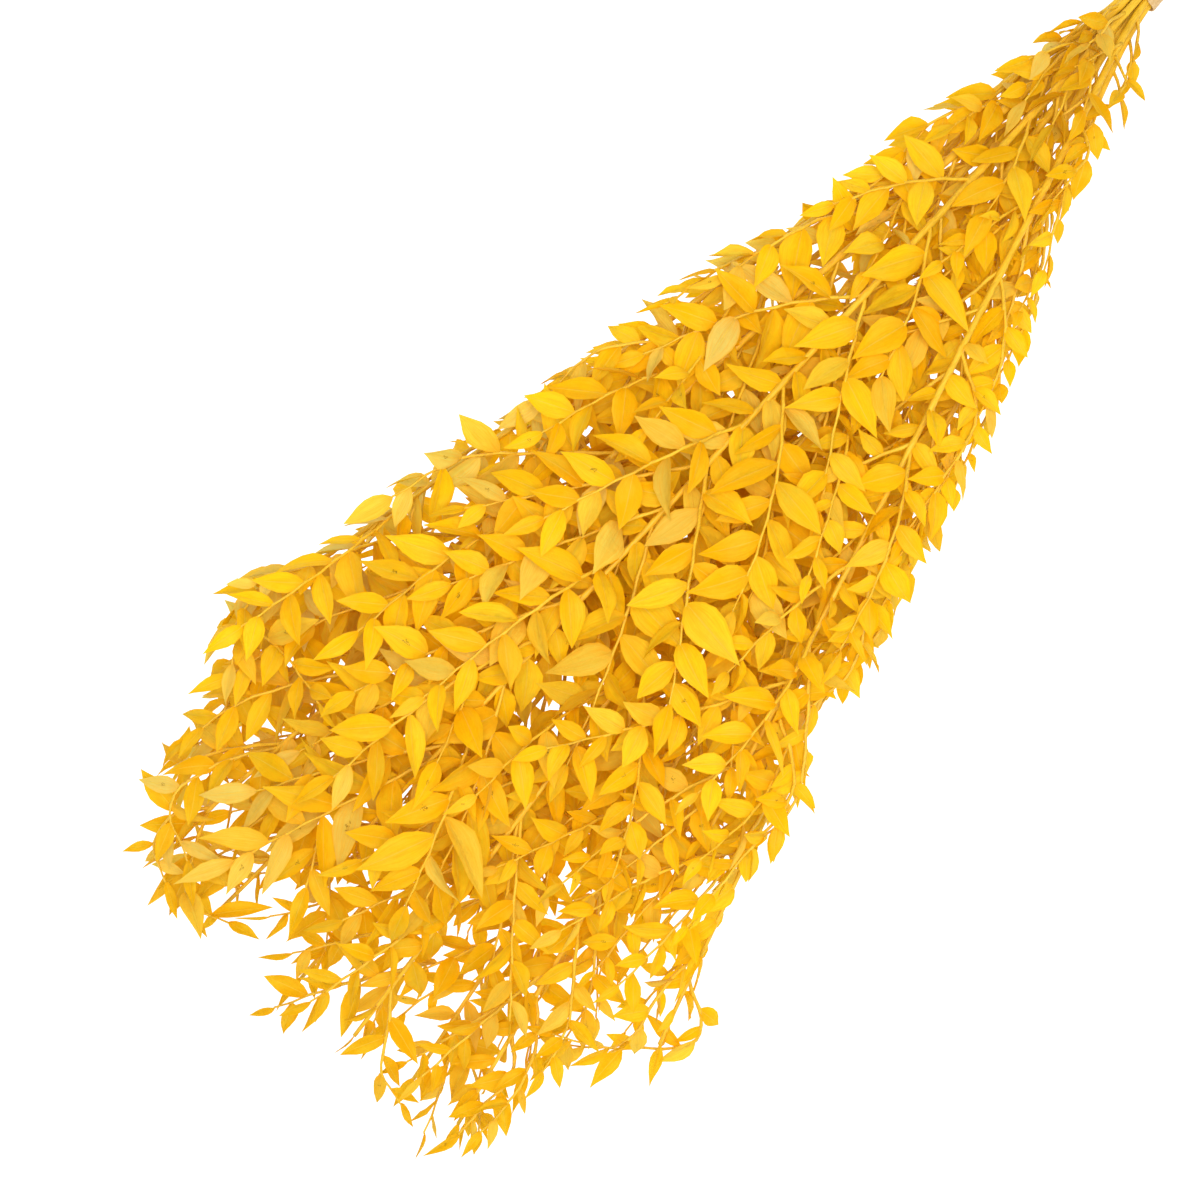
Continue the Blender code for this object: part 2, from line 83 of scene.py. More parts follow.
# Its far end: each row is (place across the bunch, how far the leaf tips reach there).
FAR_END = (
    (-0.163, 0.574),
    (-0.138, 0.640),
    (-0.118, 0.712),
    (-0.060, 0.702),
    (-0.043, 0.666),
    (-0.028, 0.706),
    (-0.004, 0.734),
    (0.044, 0.738),
    (0.060, 0.692),
    (0.076, 0.744),
    (0.118, 0.742),
    (0.130, 0.702),
    (0.142, 0.646),
    (0.186, 0.616),
)
WOOD_CELL = 0.016
LEAF_CELL = 0.036

# The stems: (place in the band, tip as x, y, z, height of the arch, size of the leaves). Places 0 to 8
# go round the outside of the bundle from the top by the left side, and 9 to 11 are in its middle.
STEMS = (
    (0, (0.610, -0.030, 0.080), 0.108, 1.20),
    (1, (0.680, -0.104, 0.046), 0.084, 1.14),
    (2, (0.562, -0.152, 0.040), 0.054, 1.00),
    (3, (0.630, -0.124, 0.020), 0.024, 0.96),
    (4, (0.692, -0.006, 0.018), 0.020, 0.92),
    (5, (0.694, 0.074, 0.020), 0.022, 0.90),
    (6, (0.596, 0.162, 0.022), 0.026, 0.80),
    (7, (0.544, 0.146, 0.046), 0.058, 0.78),
    (8, (0.496, 0.106, 0.074), 0.094, 0.84),
    (9, (0.690, 0.034, 0.058), 0.082, 1.00),
    (10, (0.690, -0.062, 0.036), 0.052, 1.02),
    (11, (0.694, 0.106, 0.038), 0.052, 0.86),
)
STEM_RADIUS = 0.0021
STEM_TIP_RADIUS = 0.0011
STEM_SIDES = 6
STEM_SPANS = 9
# The bundle in the band: its two rings of stems, the gap round them, and the band's wall and flat.
OUTER_STEMS = 9
INNER_STEMS = 3
OUTER_RING = 0.0069
INNER_RING = 0.00264
GAP = 0.0003
BAND_WALL = 0.0016
BAND_FLAT = 0.0004
BAND_AXIS_Z = OUTER_RING + STEM_RADIUS + GAP + BAND_WALL - BAND_FLAT
STRAIGHT_END = 0.010
CUT_ENDS_AT = -0.047
CUT_ENDS_SPREAD = 1.15

# The two handles of a stem's arch, as shares of its reach, of its way across and of its rise.
FIRST_HANDLE = (0.34, 0.28, 0.62)
SECOND_HANDLE = (0.72, 0.70, 1.30)

# The side twigs: each row is (distance from the band, length of a twig that starts there).
TWIG_LENGTHS = (
    (0.015, 0.034),
    (0.120, 0.070),
    (0.260, 0.112),
    (0.460, 0.120),
    (0.600, 0.082),
    (0.720, 0.046),
)
TWIG_LENGTH_VARIES = (0.82, 1.18)
SHORTER_TRY = 0.72
TWIGS_FROM = 0.018
TWIG_EVERY = 0.053
TWIG_SHIFTS = (0, 0.5)
BARE_STEM_TIP = 0.030
TWIG_ROOT_RADIUS = 0.0011
TWIG_TIP_RADIUS = 0.0008
TWIG_SIDES = 3
TWIG_SPANS = 3
TWIG_ANGLES = (27, 50)
TWIG_TURN = 55
TWIG_FORWARD_BEND = 0.10
TWIG_DROOP = 0.06
TWIG_SWAY = 0.12
TWIG_LIFT = 0.08
TWIG_TRIES = 14
TWIG_CLEARANCE = 0.0032
TWIG_STRAYS = (-0.006, 0.006)
LENGTH_COUNTS = 0.06
SAMPLE_EVERY = 0.003
SAMPLES_AT_ROOT = 4
FLOOR_CLEARANCE = 0.005
EDGE_CLEARANCE = 0.014
NARROW_SHARE = 0.40

# The leaves: one every 10 mm, on alternate sides. Of every eight, the solids carry the two picked here.
LEAF_EVERY = 0.010
LEAF_CYCLE = 8
LEAVES_PICKED = (0, 3)
BARE_TWIG_ROOT = 0.014
BARE_STEM_SHARE = 0.45
LEAF_LENGTHS = (0.0240, 0.0340)
TWIG_LEAF_SIZES = (0.84, 1.16)
TWIG_LEAN = 0.55
SMALLEST_AT_TIP = 0.72
GROWN_BY = 5
TERMINAL_SHAPE = 0.80
LEAF_THICKNESS = 0.0011
LEAF_ANGLES = (36, 64)
TIP_ANGLE_SHARE = 0.66
TERMINAL_ANGLES = (0, 10)
LEAF_LIFT = 0.40
LEAF_ROLL = 48
LEAF_FOLDS = (0.12, 0.58)
LEAF_ARCHES = (-0.08, 0.24)
FACING_OUTWARD = 0.5
FACING_SPREAD = 0.28
LEAF_TRIES = 12
WIDER_SPREAD = 0.06
SMALLER_TRY = 0.025
LEAF_CLEARANCE = 0.00035
UNTESTED_NECK = 0.0030
EDGE_SLACK = 0.003
CROWN_SLACK = 0.010
TURNS_OFF_FLOOR = 12
# How wide the leaves are for their length: each row is (distance from the band, narrowest, widest).
LEAF_SHAPES = (
    (0.000, 0.41, 0.52),
    (0.480, 0.41, 0.52),
    (0.720, 0.28, 0.38),
)

# Each twig and each leaf has a seed of its own, so that a change to one leaves the others as they are.
STEM_TWIG_SEEDS = 1000
LEAF_SEED = 1000000
STEM_LEAF_SEEDS = 10000
TWIG_LEAF_SEEDS = 100

# A leaf of the solids: its widest place, its shoulder nearer the tip, and the thickest place of its rib.
WIDEST_AT = 0.38
SHOULDER_AT = 0.70
SHOULDER_WIDTH = 0.64
RIB_AT = 0.38

# The growth that the solids leave out: more twigs between theirs, and every other leaf.
MORE_TWIGS = 2
MORE_TWIGS_FROM = 0.004
MORE_TWIGS_SHIFTS = (0.2, 0.8)
MORE_TWIGS_SHARES = ((0.0, 1.0), (0.20, 0.82), (0.45, 0.78), (0.56, 0.90), (0.66, 0.90))
MORE_TWIGS_CLEARANCE = 0.0010
MORE_TWIGS_SEED = 2000000
MORE_LEAVES_SEED = 4000000
FINE_THICKNESS = 0.0004
FINE_CLEARANCE = 0.0001
FINE_TRIES = 16

# The fine leaf: its rows from base to tip, its columns across, and its outline u^rise * (1 - u)^fall.
LEAF_ROWS = (0.0, 0.05, 0.16, 0.32, 0.50, 0.68, 0.85, 1.0)
LEAF_COLUMNS = 4
OUTLINE_RISES = (0.70, 1.00)
OUTLINE_FALLS = (1.15, 1.50)
BLADE_THICKNESS = 0.00028
RIB_THICKNESS = 0.00050
CUPPING = (-0.10, 0.75)
RIPPLES = (0.02, 0.18)
RIPPLE_COUNT = 1.4
TWISTS = (-28, 28)
HOOKS = (-0.9, 0.9)
HOOK_FROM = 0.55
# Where a blade would cross another it is held flatter by these shares in turn, then turned about its
# rib by these degrees and made smaller.
HELD_FLATTER = (1.0, 0.6, 0.3, 0.0)
TURNED_AND_SIZED = ((14, 0.94), (-14, 0.94), (28, 0.88), (-28, 0.88), (42, 0.80), (-42, 0.80), (0, 0.70))

# The fine wood: its rings and how far apart they are, and its joints: the share by which they swell, over
# what length, how steeply, how near they clear other rings, and how far out a stem's swell in full.
FINE_STEM_SIDES = 10
FINE_STEM_RING_EVERY = 0.009
FINE_TWIG_SIDES = 6
FINE_TWIG_ROOT_RADIUS = 0.00105
FINE_TWIG_TIP_RADIUS = 0.00045
NODE_SWELLS = 0.24
NODE_LENGTH = 0.0028
NODE_FALL = 2.0
NODE_CLEARS = 0.7
FULL_SWELL_AT = 0.05
ZIGZAG = 0.00035
# The cut ends: how far aslant they are, and how far in from the ends of the solids.
CUT_TILTS = (-38, 38)
CUT_FROM = 0.0022
CUT_SETBACKS = (0.0008, 0.0070)

# The elastic band: one strip wound three times, which crosses back over its middle turn on top.
BAND_TURNS = 3
BAND_STRIP_WIDTH = 0.0033
BAND_STRIP_THICKNESS = 0.0013
BAND_STEPS = 180
BAND_CORNERS = 16
CROSSING_ARC = 64
CROSSING_LIFT = 0.0014

LEAF_TONES = ("#FCCE08", "#FEDA0E", "#FFE21A", "#FFE82E")
# The deep tone of the vein streaks, also used as painted shade at each leaf's base:
LEAF_DEEP_STREAK_AND_SHADE = "#F8B802"
# Painted shade on the leaves at both ends of the bunch, where the light falls off:
LEAF_SHADE_AT_ENDS = "#DEAE06"
LEAF_PALE = "#EEE888"
LEAF_OLIVE = "#F2E044"
LEAF_GLOW = "#FFE60C"
LEAF_RIM = "#FACC0C"
LEAF_RIB = "#FFE45C"
LEAF_SPECK = "#80500F"
LEAF_WITHERED = "#D2AC2C"
BARK_TONES = ("#CC9E10", "#E0B016", "#EAC02C")
CUT_WOOD_TONES = ("#C8984C", "#EAC47C", "#F8DEA8")
RUBBER_TONES = ("#C09A60", "#CDAA72", "#D8BA86")

# How pale and how withered a leaf is: each is drawn from the leaf's own number, and rises from nothing
# past its threshold. As painted shade, more leaves are pale and dull towards the left edge of the bunch,
# the side turned away from the key light.
PALE_DRAW = 7.31
PALE_FROM = 0.80
PALE_AS_SHADE_ON_LEFT = 0.30
PALE_RISE = 2.2
WITHERED_DRAW = 3.77
WITHERED_FROM = 0.90
WITHERED_RISE = 3.0

# The noise on a blade: how often it changes along the leaf and across it, for clouds and for streaks,
# and how far apart two leaves read it.
CLOUD_STRETCH = (1.9, 1.5, 0.0)
STREAK_STRETCH = (2.6, 26.0, 0.0)
LEAF_OFFSETS = (40, 40, 40)
# The flower's mark: which leaves carry one, its place along the leaf, the leaf's width for its length,
# the curl's radius, where its line begins and ends to fade, how strong it is and how far it is shaken.
MARK_FROM = 0.90
MARK_AT = 0.40
MARK_ROUNDS = 0.55
MARK_RADIUS = 0.032
MARK_LINE = (0.005, 0.012)
MARK_STRENGTH = 0.75
MARK_SHAKE = Vector((0.20, 0.20, 0.0))
# How much of the light goes through a leaf, and how far the dye warms it there.
THROUGH_LEAF = 0.50
GLOW_WARMS = 0.50

# The patterns, as the millimetres from one mark to the next. Ridges of bark are about 0.4 mm apart and
# pores of wood under 0.1 mm, and both are drawn coarser so that they show.
WRINKLES_MM = 5.263
SHAKES_MM = 1.5625
RIDGES_MM = 0.6667
RIDGE_STRETCH = (0.05, 1.0, 1.0)
BARK_PATCHES_MM = 16.667
PORES_MM = 0.3846
BRUISES_MM = 2.381
BLOOM_MM = 2.0

# The places of a stem's materials, after that of its leaves.
BARK_LOOK = 1
CUT_LOOK = 2

# The view: the camera looks straight down, as the photograph does.
VIEW_CENTRE = Vector((0.436, -0.014, 0.050))
VIEW_WIDTH = 0.623
VIEW_RIGHT = Vector((-0.643, 0.766, 0.0))
LENS = 85.0
SENSOR = 36.0
CAMERA_REACH = 100.0

# The studio: a white floor that glows a little, white walls, a dimmer ceiling from these heights up, and
# two soft lights. Each light is (name, place, side, power).
FLOOR_SIZE = 40.0
FLOOR_BELOW = 0.0002
FLOOR_GREY = "#404040"
FLOOR_GLOW = 1.30
WALL_STRENGTH = 1.05
CEILING_STRENGTH = 0.44
CEILING_FROM = (0.24, 0.50)
WHITE = "#FFFFFF"
LIGHT_COLOUR = "#FFFBF2"
LIGHTS = (
    ("overhead", (0.41, 0.00, 1.90), 0.7, 28.0),
    ("key", (0.10, 1.10, 1.80), 1.0, 9.0),
)


def read_row(table, x):
    """The values of a table at x, on straight lines between its rows."""
    x = min(max(x, table[0][0]), table[-1][0])
    for before, after in zip(table, table[1:]):
        if x <= after[0]:
            share = (x - before[0]) / (after[0] - before[0])
            return [a + (b - a) * share for a, b in zip(before[1:], after[1:])]


def line_length(points):
    return sum((b - a).length for a, b in zip(points, points[1:]))


def point_along(points, distance):
    """The point and the direction at a distance along a line of points."""
    for before, after in zip(points, points[1:]):
        span = (after - before).length
        if distance <= span:
            return before.lerp(after, distance / span), (after - before).normalized()
        distance -= span
    return points[-1].copy(), (points[-1] - points[-2]).normalized()


def smooth_along(points, distance):
    """The point and the direction at a distance along the smooth curve through a line of points."""
    spans = [b - a for a, b in zip(points, points[1:])]
    last = len(spans) - 1
    k = 0
    while k < last and distance > spans[k].length:
        distance -= spans[k].length
        k += 1
    size = spans[k].length
    t = min(max(distance / size, 0.0), 1.0)
    here = spans[k].normalized()
    leaves = (spans[max(k - 1, 0)].normalized() + here).normalized() * size
    arrives = (spans[min(k + 1, last)].normalized() + here).normalized() * size
    start, end = points[k], points[k + 1]
    point = (1 - t) ** 2 * ((1 + 2 * t) * start + t * leaves)
    point += t * t * ((3 - 2 * t) * end - (1 - t) * arrives)
    ahead = 6 * t * (1 - t) * (end - start) + (1 - t) * (1 - 3 * t) * leaves
    ahead += t * (3 * t - 2) * arrives
    return point, ahead.normalized()


class Cells:
    """Things kept by the cell of space that they are in, so that only near ones are compared."""

    def __init__(self, size):
        self.size = size
        self.held = {}

    def key(self, point):
        return tuple(math.floor(c / self.size) for c in point)

    def add(self, point, thing):
        self.held.setdefault(self.key(point), []).append(thing)

    def near(self, point):
        for key in product(*[(c - 1, c, c + 1) for c in self.key(point)]):
            yield from self.held.get(key, ())


def band_size():
    """The band's axis height, outer radius and half width, from its solid."""
    low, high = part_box(BAND_NODE)
    radius = (high.y - low.y) / 2
    return high.z - radius, radius, (high.x - low.x) / 2


def place_in_band(place):
    """Where a stem passes through the band: nine stems round three."""
    if place < OUTER_STEMS:
        radius = OUTER_RING
        angle = math.radians(90 + 360 / OUTER_STEMS * place)
    else:
        radius = INNER_RING
        angle = math.radians(90 + 360 / INNER_STEMS * (place - OUTER_STEMS))
    return radius * math.cos(angle), radius * math.sin(angle)


def stem_line(place, tip, arch):
    """A main stem: straight through the band, then one arch out to its tip."""
    across, up = place_in_band(place)
    start = Vector((STRAIGHT_END, across, BAND_AXIS_Z + up))
    tip = Vector(tip)
    way = Vector((tip.x, tip.y - across, arch - start.z))
    base = Vector((0, across, start.z))
    handles = [base + way * Vector(shares) for shares in (FIRST_HANDLE, SECOND_HANDLE)]
    cut_end = Vector((CUT_ENDS_AT, CUT_ENDS_SPREAD * across, BAND_AXIS_Z + CUT_ENDS_SPREAD * up))
    points = [cut_end, Vector((-STRAIGHT_END, across, start.z)), start]
    arched = STEM_SPANS - 2
    for step in range(1, arched + 1):
        t = step / arched
        ends = (1 - t) ** 3 * start + t**3 * tip
        points.append(ends + 3 * t * (1 - t) ** 2 * handles[0] + 3 * t * t * (1 - t) * handles[1])
    return points


def stem_radii(points):
    shares = [max(0.0, point.x / points[-1].x) for point in points]
    return [STEM_RADIUS + (STEM_TIP_RADIUS - STEM_RADIUS) * share for share in shares]


def twig_radii():
    shares = [k / TWIG_SPANS for k in range(TWIG_SPANS + 1)]
    return [TWIG_ROOT_RADIUS + (TWIG_TIP_RADIUS - TWIG_ROOT_RADIUS) * share for share in shares]


def twig_line(root, trunk, side, length, stray, rng):
    """A side twig: it leaves the stem at an angle, bends forward and stays near the outline."""
    across = UP.cross(trunk).normalized()
    angle = math.radians(rng.uniform(*TWIG_ANGLES))
    turn = math.radians(rng.uniform(-TWIG_TURN, TWIG_TURN))
    outward = side * across * math.cos(turn) + trunk.cross(across) * math.sin(turn)
    heading = trunk * math.cos(angle) + outward * math.sin(angle)
    lift = rng.uniform(-TWIG_LIFT, TWIG_LIFT) - TWIG_DROOP
    bend = Vector((TWIG_FORWARD_BEND, rng.uniform(-TWIG_SWAY, TWIG_SWAY), lift))
    points = [root]
    step = length / TWIG_SPANS
    for _ in range(TWIG_SPANS):
        ahead = points[-1] + (heading + bend).normalized() * step
        left, right, crown = read_row(ENVELOPE, ahead.x + EDGE_CLEARANCE)
        leaf_room = min(EDGE_CLEARANCE, NARROW_SHARE * right) - stray
        ahead.x = min(ahead.x, read_row(FAR_END, ahead.y)[0] - leaf_room)
        ahead.y = min(max(ahead.y, left + leaf_room), right - leaf_room)
        ahead.z = min(max(ahead.z, FLOOR_CLEARANCE), crown)
        heading = (ahead - points[-1]).normalized()
        points.append(points[-1] + heading * step)
    return points


def samples(points, radii):
    """Points with radii along a twig or stem, close enough together to measure distances by."""
    found = []
    for a, b, start, end in zip(points, points[1:], radii, radii[1:]):
        count = math.ceil((b - a).length / SAMPLE_EVERY)
        for k in range(count):
            found.append((a.lerp(b, k / count), start + (end - start) * k / count))
    found.append((points[-1], radii[-1]))
    return found


def add_wood(wood, number, points, radii):
    for point, radius in samples(points, radii):
        wood.add(point, (point, radius, number))


def room_round(wood, number, points, radii):
    """The least gap from a twig to the wood of other stems, and its mean gap to all wood."""
    least = WOOD_CELL
    total = 0.0
    tested = samples(points, radii)[SAMPLES_AT_ROOT:]
    for point, radius in tested:
        nearest = WOOD_CELL
        for other, other_radius, owner in wood.near(point):
            gap = (other - point).length - radius - other_radius
            nearest = min(nearest, gap)
            if owner != number:
                least = min(least, gap)
        total += nearest
    return least, total / len(tested)


def best_twig(wood, number, root, trunk, side, rng, clearance=TWIG_CLEARANCE):
    """Of several tries at a twig, the one with most room round it, or None if all are too close."""
    best = None
    stray = rng.uniform(*TWIG_STRAYS)
    for attempt in range(TWIG_TRIES):
        length = read_row(TWIG_LENGTHS, root.x)[0] * rng.uniform(*TWIG_LENGTH_VARIES)
        if attempt >= TWIG_TRIES // 2:
            length *= SHORTER_TRY
        points = twig_line(root, trunk, side, length, stray, rng)
        least, mean = room_round(wood, number, points, twig_radii())
        score = mean + LENGTH_COUNTS * length
        if least > clearance and (best is None or score > best[0]):
            best = (score, points)
    return best and best[1]


def grow_wood(wood, stems):
    """For each stem the lines of the twigs that its solid carries."""
    for number, line in enumerate(stems):
        add_wood(wood, number, line, stem_radii(line))
    twigs = [[] for _ in stems]
    longest = max(line_length(line) for line in stems)
    for place in range(int(longest / TWIG_EVERY)):
        for number, line in enumerate(stems):
            rng = random.Random(STEM_TWIG_SEEDS * number + place)
            distance = -CUT_ENDS_AT + TWIGS_FROM + TWIG_EVERY * (place + rng.uniform(*TWIG_SHIFTS))
            if distance > line_length(line) - BARE_STEM_TIP:
                continue
            root, trunk = point_along(line, distance)
            side = 1 if (place + number) % 2 else -1
            points = best_twig(wood, number, root, trunk, side, rng)
            if points:
                twigs[number].append(points)
                add_wood(wood, number, points, twig_radii())
    return twigs


def grow_more_wood(wood, stems):
    """For each stem more twigs, between those of its solid."""
    twigs = [[] for _ in stems]
    spacing = TWIG_EVERY / MORE_TWIGS
    longest = max(line_length(line) for line in stems)
    for place in range(int(longest / spacing)):
        for number, line in enumerate(stems):
            rng = random.Random(MORE_TWIGS_SEED + STEM_TWIG_SEEDS * number + place)
            distance = -CUT_ENDS_AT + MORE_TWIGS_FROM
            distance += spacing * (place + rng.uniform(*MORE_TWIGS_SHIFTS))
            wanted = read_row(MORE_TWIGS_SHARES, distance + CUT_ENDS_AT)[0]
            if distance > line_length(line) - BARE_STEM_TIP or rng.random() > wanted:
                continue
            root, trunk = point_along(line, distance)
            side = rng.choice((-1, 1))
            points = best_twig(wood, number, root, trunk, side, rng, MORE_TWIGS_CLEARANCE)
            if points:
                twigs[number].append(points)
                add_wood(wood, number, points, twig_radii())
    return twigs


class Leaf:
    """One leaf: where it grows, which way it points and faces, and its form."""

    def __init__(self, base, along, normal, length, width, fold, arch):
        self.base = base
        self.along = along
        self.normal = (normal - along * normal.dot(along)).normalized()
        self.length = length
        self.width = width
        self.fold = fold
        self.arch = arch

    def at(self, u, v, lift=0.0):
        """A point of the leaf: u from base to tip, v from the left edge at -1 to the right at 1."""
        height = self.fold * abs(v) * self.width / 2 - self.arch * self.length * u * u + lift
        side = self.normal.cross(self.along)
        return self.base + self.along * u * self.length + side * v * self.width / 2 + self.normal * height

    def fitted(self, turn, share):
        """The same leaf turned about its rib, at a share of its length and width."""
        normal = Matrix.Rotation(math.radians(turn), 3, self.along) @ self.normal
        length = self.length * share
        return Leaf(self.base, self.along, normal, length, self.width * share, self.fold, self.arch)

    def rim(self, grow=0.0):
        more = grow / (self.width / 2)
        widest = 1 + more
        shoulder = SHOULDER_WIDTH + more
        return [
            self.at(WIDEST_AT, widest),
            self.at(SHOULDER_AT, shoulder),
            self.at(1 + grow / self.length, 0),
            self.at(SHOULDER_AT, -shoulder),
            self.at(WIDEST_AT, -widest),
        ]

    def closed(self, rim, half_thickness):
        """Corners and triangles of a blade: a fan from the rib to the rim on each face."""
        ribs = [self.at(RIB_AT, 0, half_thickness), self.at(RIB_AT, 0, -half_thickness)]
        ring = list(range(len(rim)))
        pairs = list(zip(ring, ring[1:] + ring[:1]))
        return rim + ribs, [(len(rim) + face, a, b) for face in (0, 1) for a, b in pairs]

    def blade(self, thickness):
        return self.closed([self.base] + self.rim(), thickness / 2)

    def shell(self, thickness, clearance):
        """The leaf a little grown all round, from just outside its twig, to test for room."""
        start = UNTESTED_NECK / self.length
        neck = start / WIDEST_AT + clearance / (self.width / 2)
        rim = [self.at(start, neck)] + self.rim(clearance) + [self.at(start, -neck)]
        return self.closed(rim, thickness / 2 + clearance)

    def raise_off_floor(self):
        """Turns the leaf up about its base until no corner is below the surface it lies on."""
        for _ in range(TURNS_OFF_FLOOR):
            lowest = min(self.blade(LEAF_THICKNESS)[0], key=lambda point: point.z)
            if lowest.z >= -1e-6:
                return
            reach = Vector((lowest.x - self.base.x, lowest.y - self.base.y, 0))
            angle = -lowest.z / max(reach.length, self.length / 3)
            turn = Matrix.Rotation(angle, 3, reach.cross(UP).normalized())
            self.along = turn @ self.along
            self.normal = turn @ self.normal


def fits(leaf, foliage, wood_tree, thickness, clearance):
    """Whether a leaf is above the floor, inside the outline and clear of all wood and other leaves."""
    points, faces = leaf.shell(thickness, clearance)
    if min(point.z for point in points) < -2 * clearance:
        return False
    tip = leaf.at(1, 0)
    left, right, crown = read_row(ENVELOPE, tip.x)
    far = read_row(FAR_END, tip.y)[0]
    inside = min(left, leaf.base.y) - EDGE_SLACK < tip.y < max(right, leaf.base.y) + EDGE_SLACK
    if not inside or tip.x > max(far, leaf.base.x) + EDGE_SLACK or tip.z > crown + CROWN_SLACK:
        return False
    shell = BVHTree.FromPolygons(points, faces)
    if shell.overlap(wood_tree):
        return False
    return not any(shell.overlap(other) for other in foliage.near(leaf.at(0.5, 0)))


def leaf_tries(line, distance, from_tip, scale, lean, rng, count=LEAF_TRIES):
    """Ways to set one leaf on its twig, from the likeliest on."""
    base, ahead = point_along(line, distance)
    left, right, crown = read_row(ENVELOPE, base.x)
    bulge = Vector((0, 2 * base.y / (right - left), 2 * base.z / crown - 1))
    usual = UP + FACING_OUTWARD * bulge + lean
    side = 1 if from_tip % 2 else -1
    grown = min(1.0, from_tip / GROWN_BY)
    size = scale * rng.uniform(*LEAF_LENGTHS) * (SMALLEST_AT_TIP + (1 - SMALLEST_AT_TIP) * grown)
    shape = rng.uniform(*read_row(LEAF_SHAPES, base.x)) * (1.0 if from_tip else TERMINAL_SHAPE)
    for attempt in range(count):
        spread = FACING_SPREAD + WIDER_SPREAD * attempt
        facing = usual + Vector([rng.uniform(-spread, spread) for _ in range(3)])
        across = facing.cross(ahead).normalized()
        plane = ahead.cross(across)
        angle = rng.uniform(*LEAF_ANGLES) * (TIP_ANGLE_SHARE + (1 - TIP_ANGLE_SHARE) * grown)
        angle = math.radians(angle if from_tip else rng.uniform(*TERMINAL_ANGLES))
        along = ahead * math.cos(angle) + side * across * math.sin(angle)
        along = (along + plane * rng.uniform(-LEAF_LIFT, LEAF_LIFT)).normalized()
        roll = Matrix.Rotation(math.radians(rng.uniform(-LEAF_ROLL, LEAF_ROLL)), 3, along)
        length = size * (1 - SMALLER_TRY * attempt)
        fold = rng.uniform(*LEAF_FOLDS)
        arch = rng.uniform(*LEAF_ARCHES)
        yield Leaf(base, along, roll @ plane, length, length * shape, fold, arch)


def set_leaf(foliage, wood_tree, tries, thickness=LEAF_THICKNESS, clearance=LEAF_CLEARANCE):
    """The first try that fits, put in its place, or None."""
    for leaf in tries:
        leaf.raise_off_floor()
        if fits(leaf, foliage, wood_tree, thickness, clearance):
            foliage.add(leaf.at(0.5, 0), BVHTree.FromPolygons(*leaf.blade(thickness)))
            return leaf


def leaf_places(number, line, twigs, first_seed=LEAF_SEED):
    """For each leaf of a stem: the line it grows on, how far along, its count from the tip, its size, the
    way that its twig leans, and its own seed."""
    lines = [(twig, BARE_TWIG_ROOT) for twig in twigs]
    lines.append((line, BARE_STEM_SHARE * line_length(line)))
    for place, (leafy, first) in enumerate(lines):
        seed = first_seed + STEM_LEAF_SEEDS * number + TWIG_LEAF_SEEDS * place
        rng = random.Random(seed)
        lean = Vector([rng.uniform(-TWIG_LEAN, TWIG_LEAN) for _ in range(3)])
        scale = STEMS[number][3] * rng.uniform(*TWIG_LEAF_SIZES)
        end = line_length(leafy) - SAMPLE_EVERY / 3
        for from_tip in range(int((end - first) / LEAF_EVERY) + 1):
            yield leafy, end - LEAF_EVERY * from_tip, from_tip, scale, lean, seed + 1 + from_tip


def grow_leaves(foliage, stems, twigs, wood_tree):
    """For each stem the leaves that its solid carries, and the places that it leaves bare."""
    leaves = [[] for _ in stems]
    bare = []
    for number, line in enumerate(stems):
        for leafy, distance, from_tip, scale, lean, seed in leaf_places(number, line, twigs[number]):
            if from_tip % LEAF_CYCLE not in LEAVES_PICKED:
                bare.append((number, leafy, distance, from_tip, scale, lean, seed))
                continue
            tries = leaf_tries(leafy, distance, from_tip, scale, lean, random.Random(seed))
            leaf = set_leaf(foliage, wood_tree, tries)
            if leaf:
                leaves[number].append((leaf, leafy, distance))
    return leaves, bare


def grow_more_leaves(foliage, bare, wood_tree, leaves):
    """The leaves at the bare places, as thin as real ones, so that more of them find room."""
    for number, leafy, distance, from_tip, scale, lean, seed in bare:
        tries = leaf_tries(leafy, distance, from_tip, scale, lean, random.Random(seed), FINE_TRIES)
        leaf = set_leaf(foliage, wood_tree, tries, FINE_THICKNESS, FINE_CLEARANCE)
        if leaf:
            leaves[number].append((leaf, leafy, distance))


def of_kind(items, kind):
    """The items of one kind, such as the edges, from what an operator gives back."""
    return [item for item in items if isinstance(item, kind)]


def swept(places, segments, closed=False):
    """A tube swept through rings that are placed, turned and sized by matrices."""
    bm = bmesh.new()
    ring = bmesh.ops.create_circle(bm, cap_ends=not closed, segments=segments, radius=1.0, matrix=places[0])
    edges = list(dict.fromkeys(edge for vert in ring["verts"] for edge in vert.link_edges))
    for before, after in zip(places, places[1:]):
        grown = bmesh.ops.extrude_edge_only(bm, edges=edges)["geom"]
        edges = of_kind(grown, bmesh.types.BMEdge)
        verts = of_kind(grown, bmesh.types.BMVert)
        bmesh.ops.transform(bm, matrix=after @ before.inverted(), verts=verts)
    if closed:
        bmesh.ops.remove_doubles(bm, verts=bm.verts, dist=1e-6)
    else:
        bmesh.ops.edgeloop_fill(bm, edges=edges)
    bmesh.ops.recalc_face_normals(bm, faces=bm.faces)
    return bm


def tube(points, radii, sides):
    """A closed tapering tube along the points."""
    tangents = [(b - a).normalized() for a, b in zip(points, points[1:])]
    tangents.append(tangents[-1])
    across = tangents[0].orthogonal().normalized()
    places = []
    for k, (point, radius) in enumerate(zip(points, radii)):
        ahead = (tangents[max(k - 1, 0)] + tangents[k]).normalized()
        across = (across - ahead * across.dot(ahead)).normalized()
        turned = Matrix((across, ahead.cross(across), ahead)).transposed().to_4x4()
        places.append(Matrix.Translation(point) @ turned @ Matrix.Scale(radius, 4))
    return swept(places, sides)


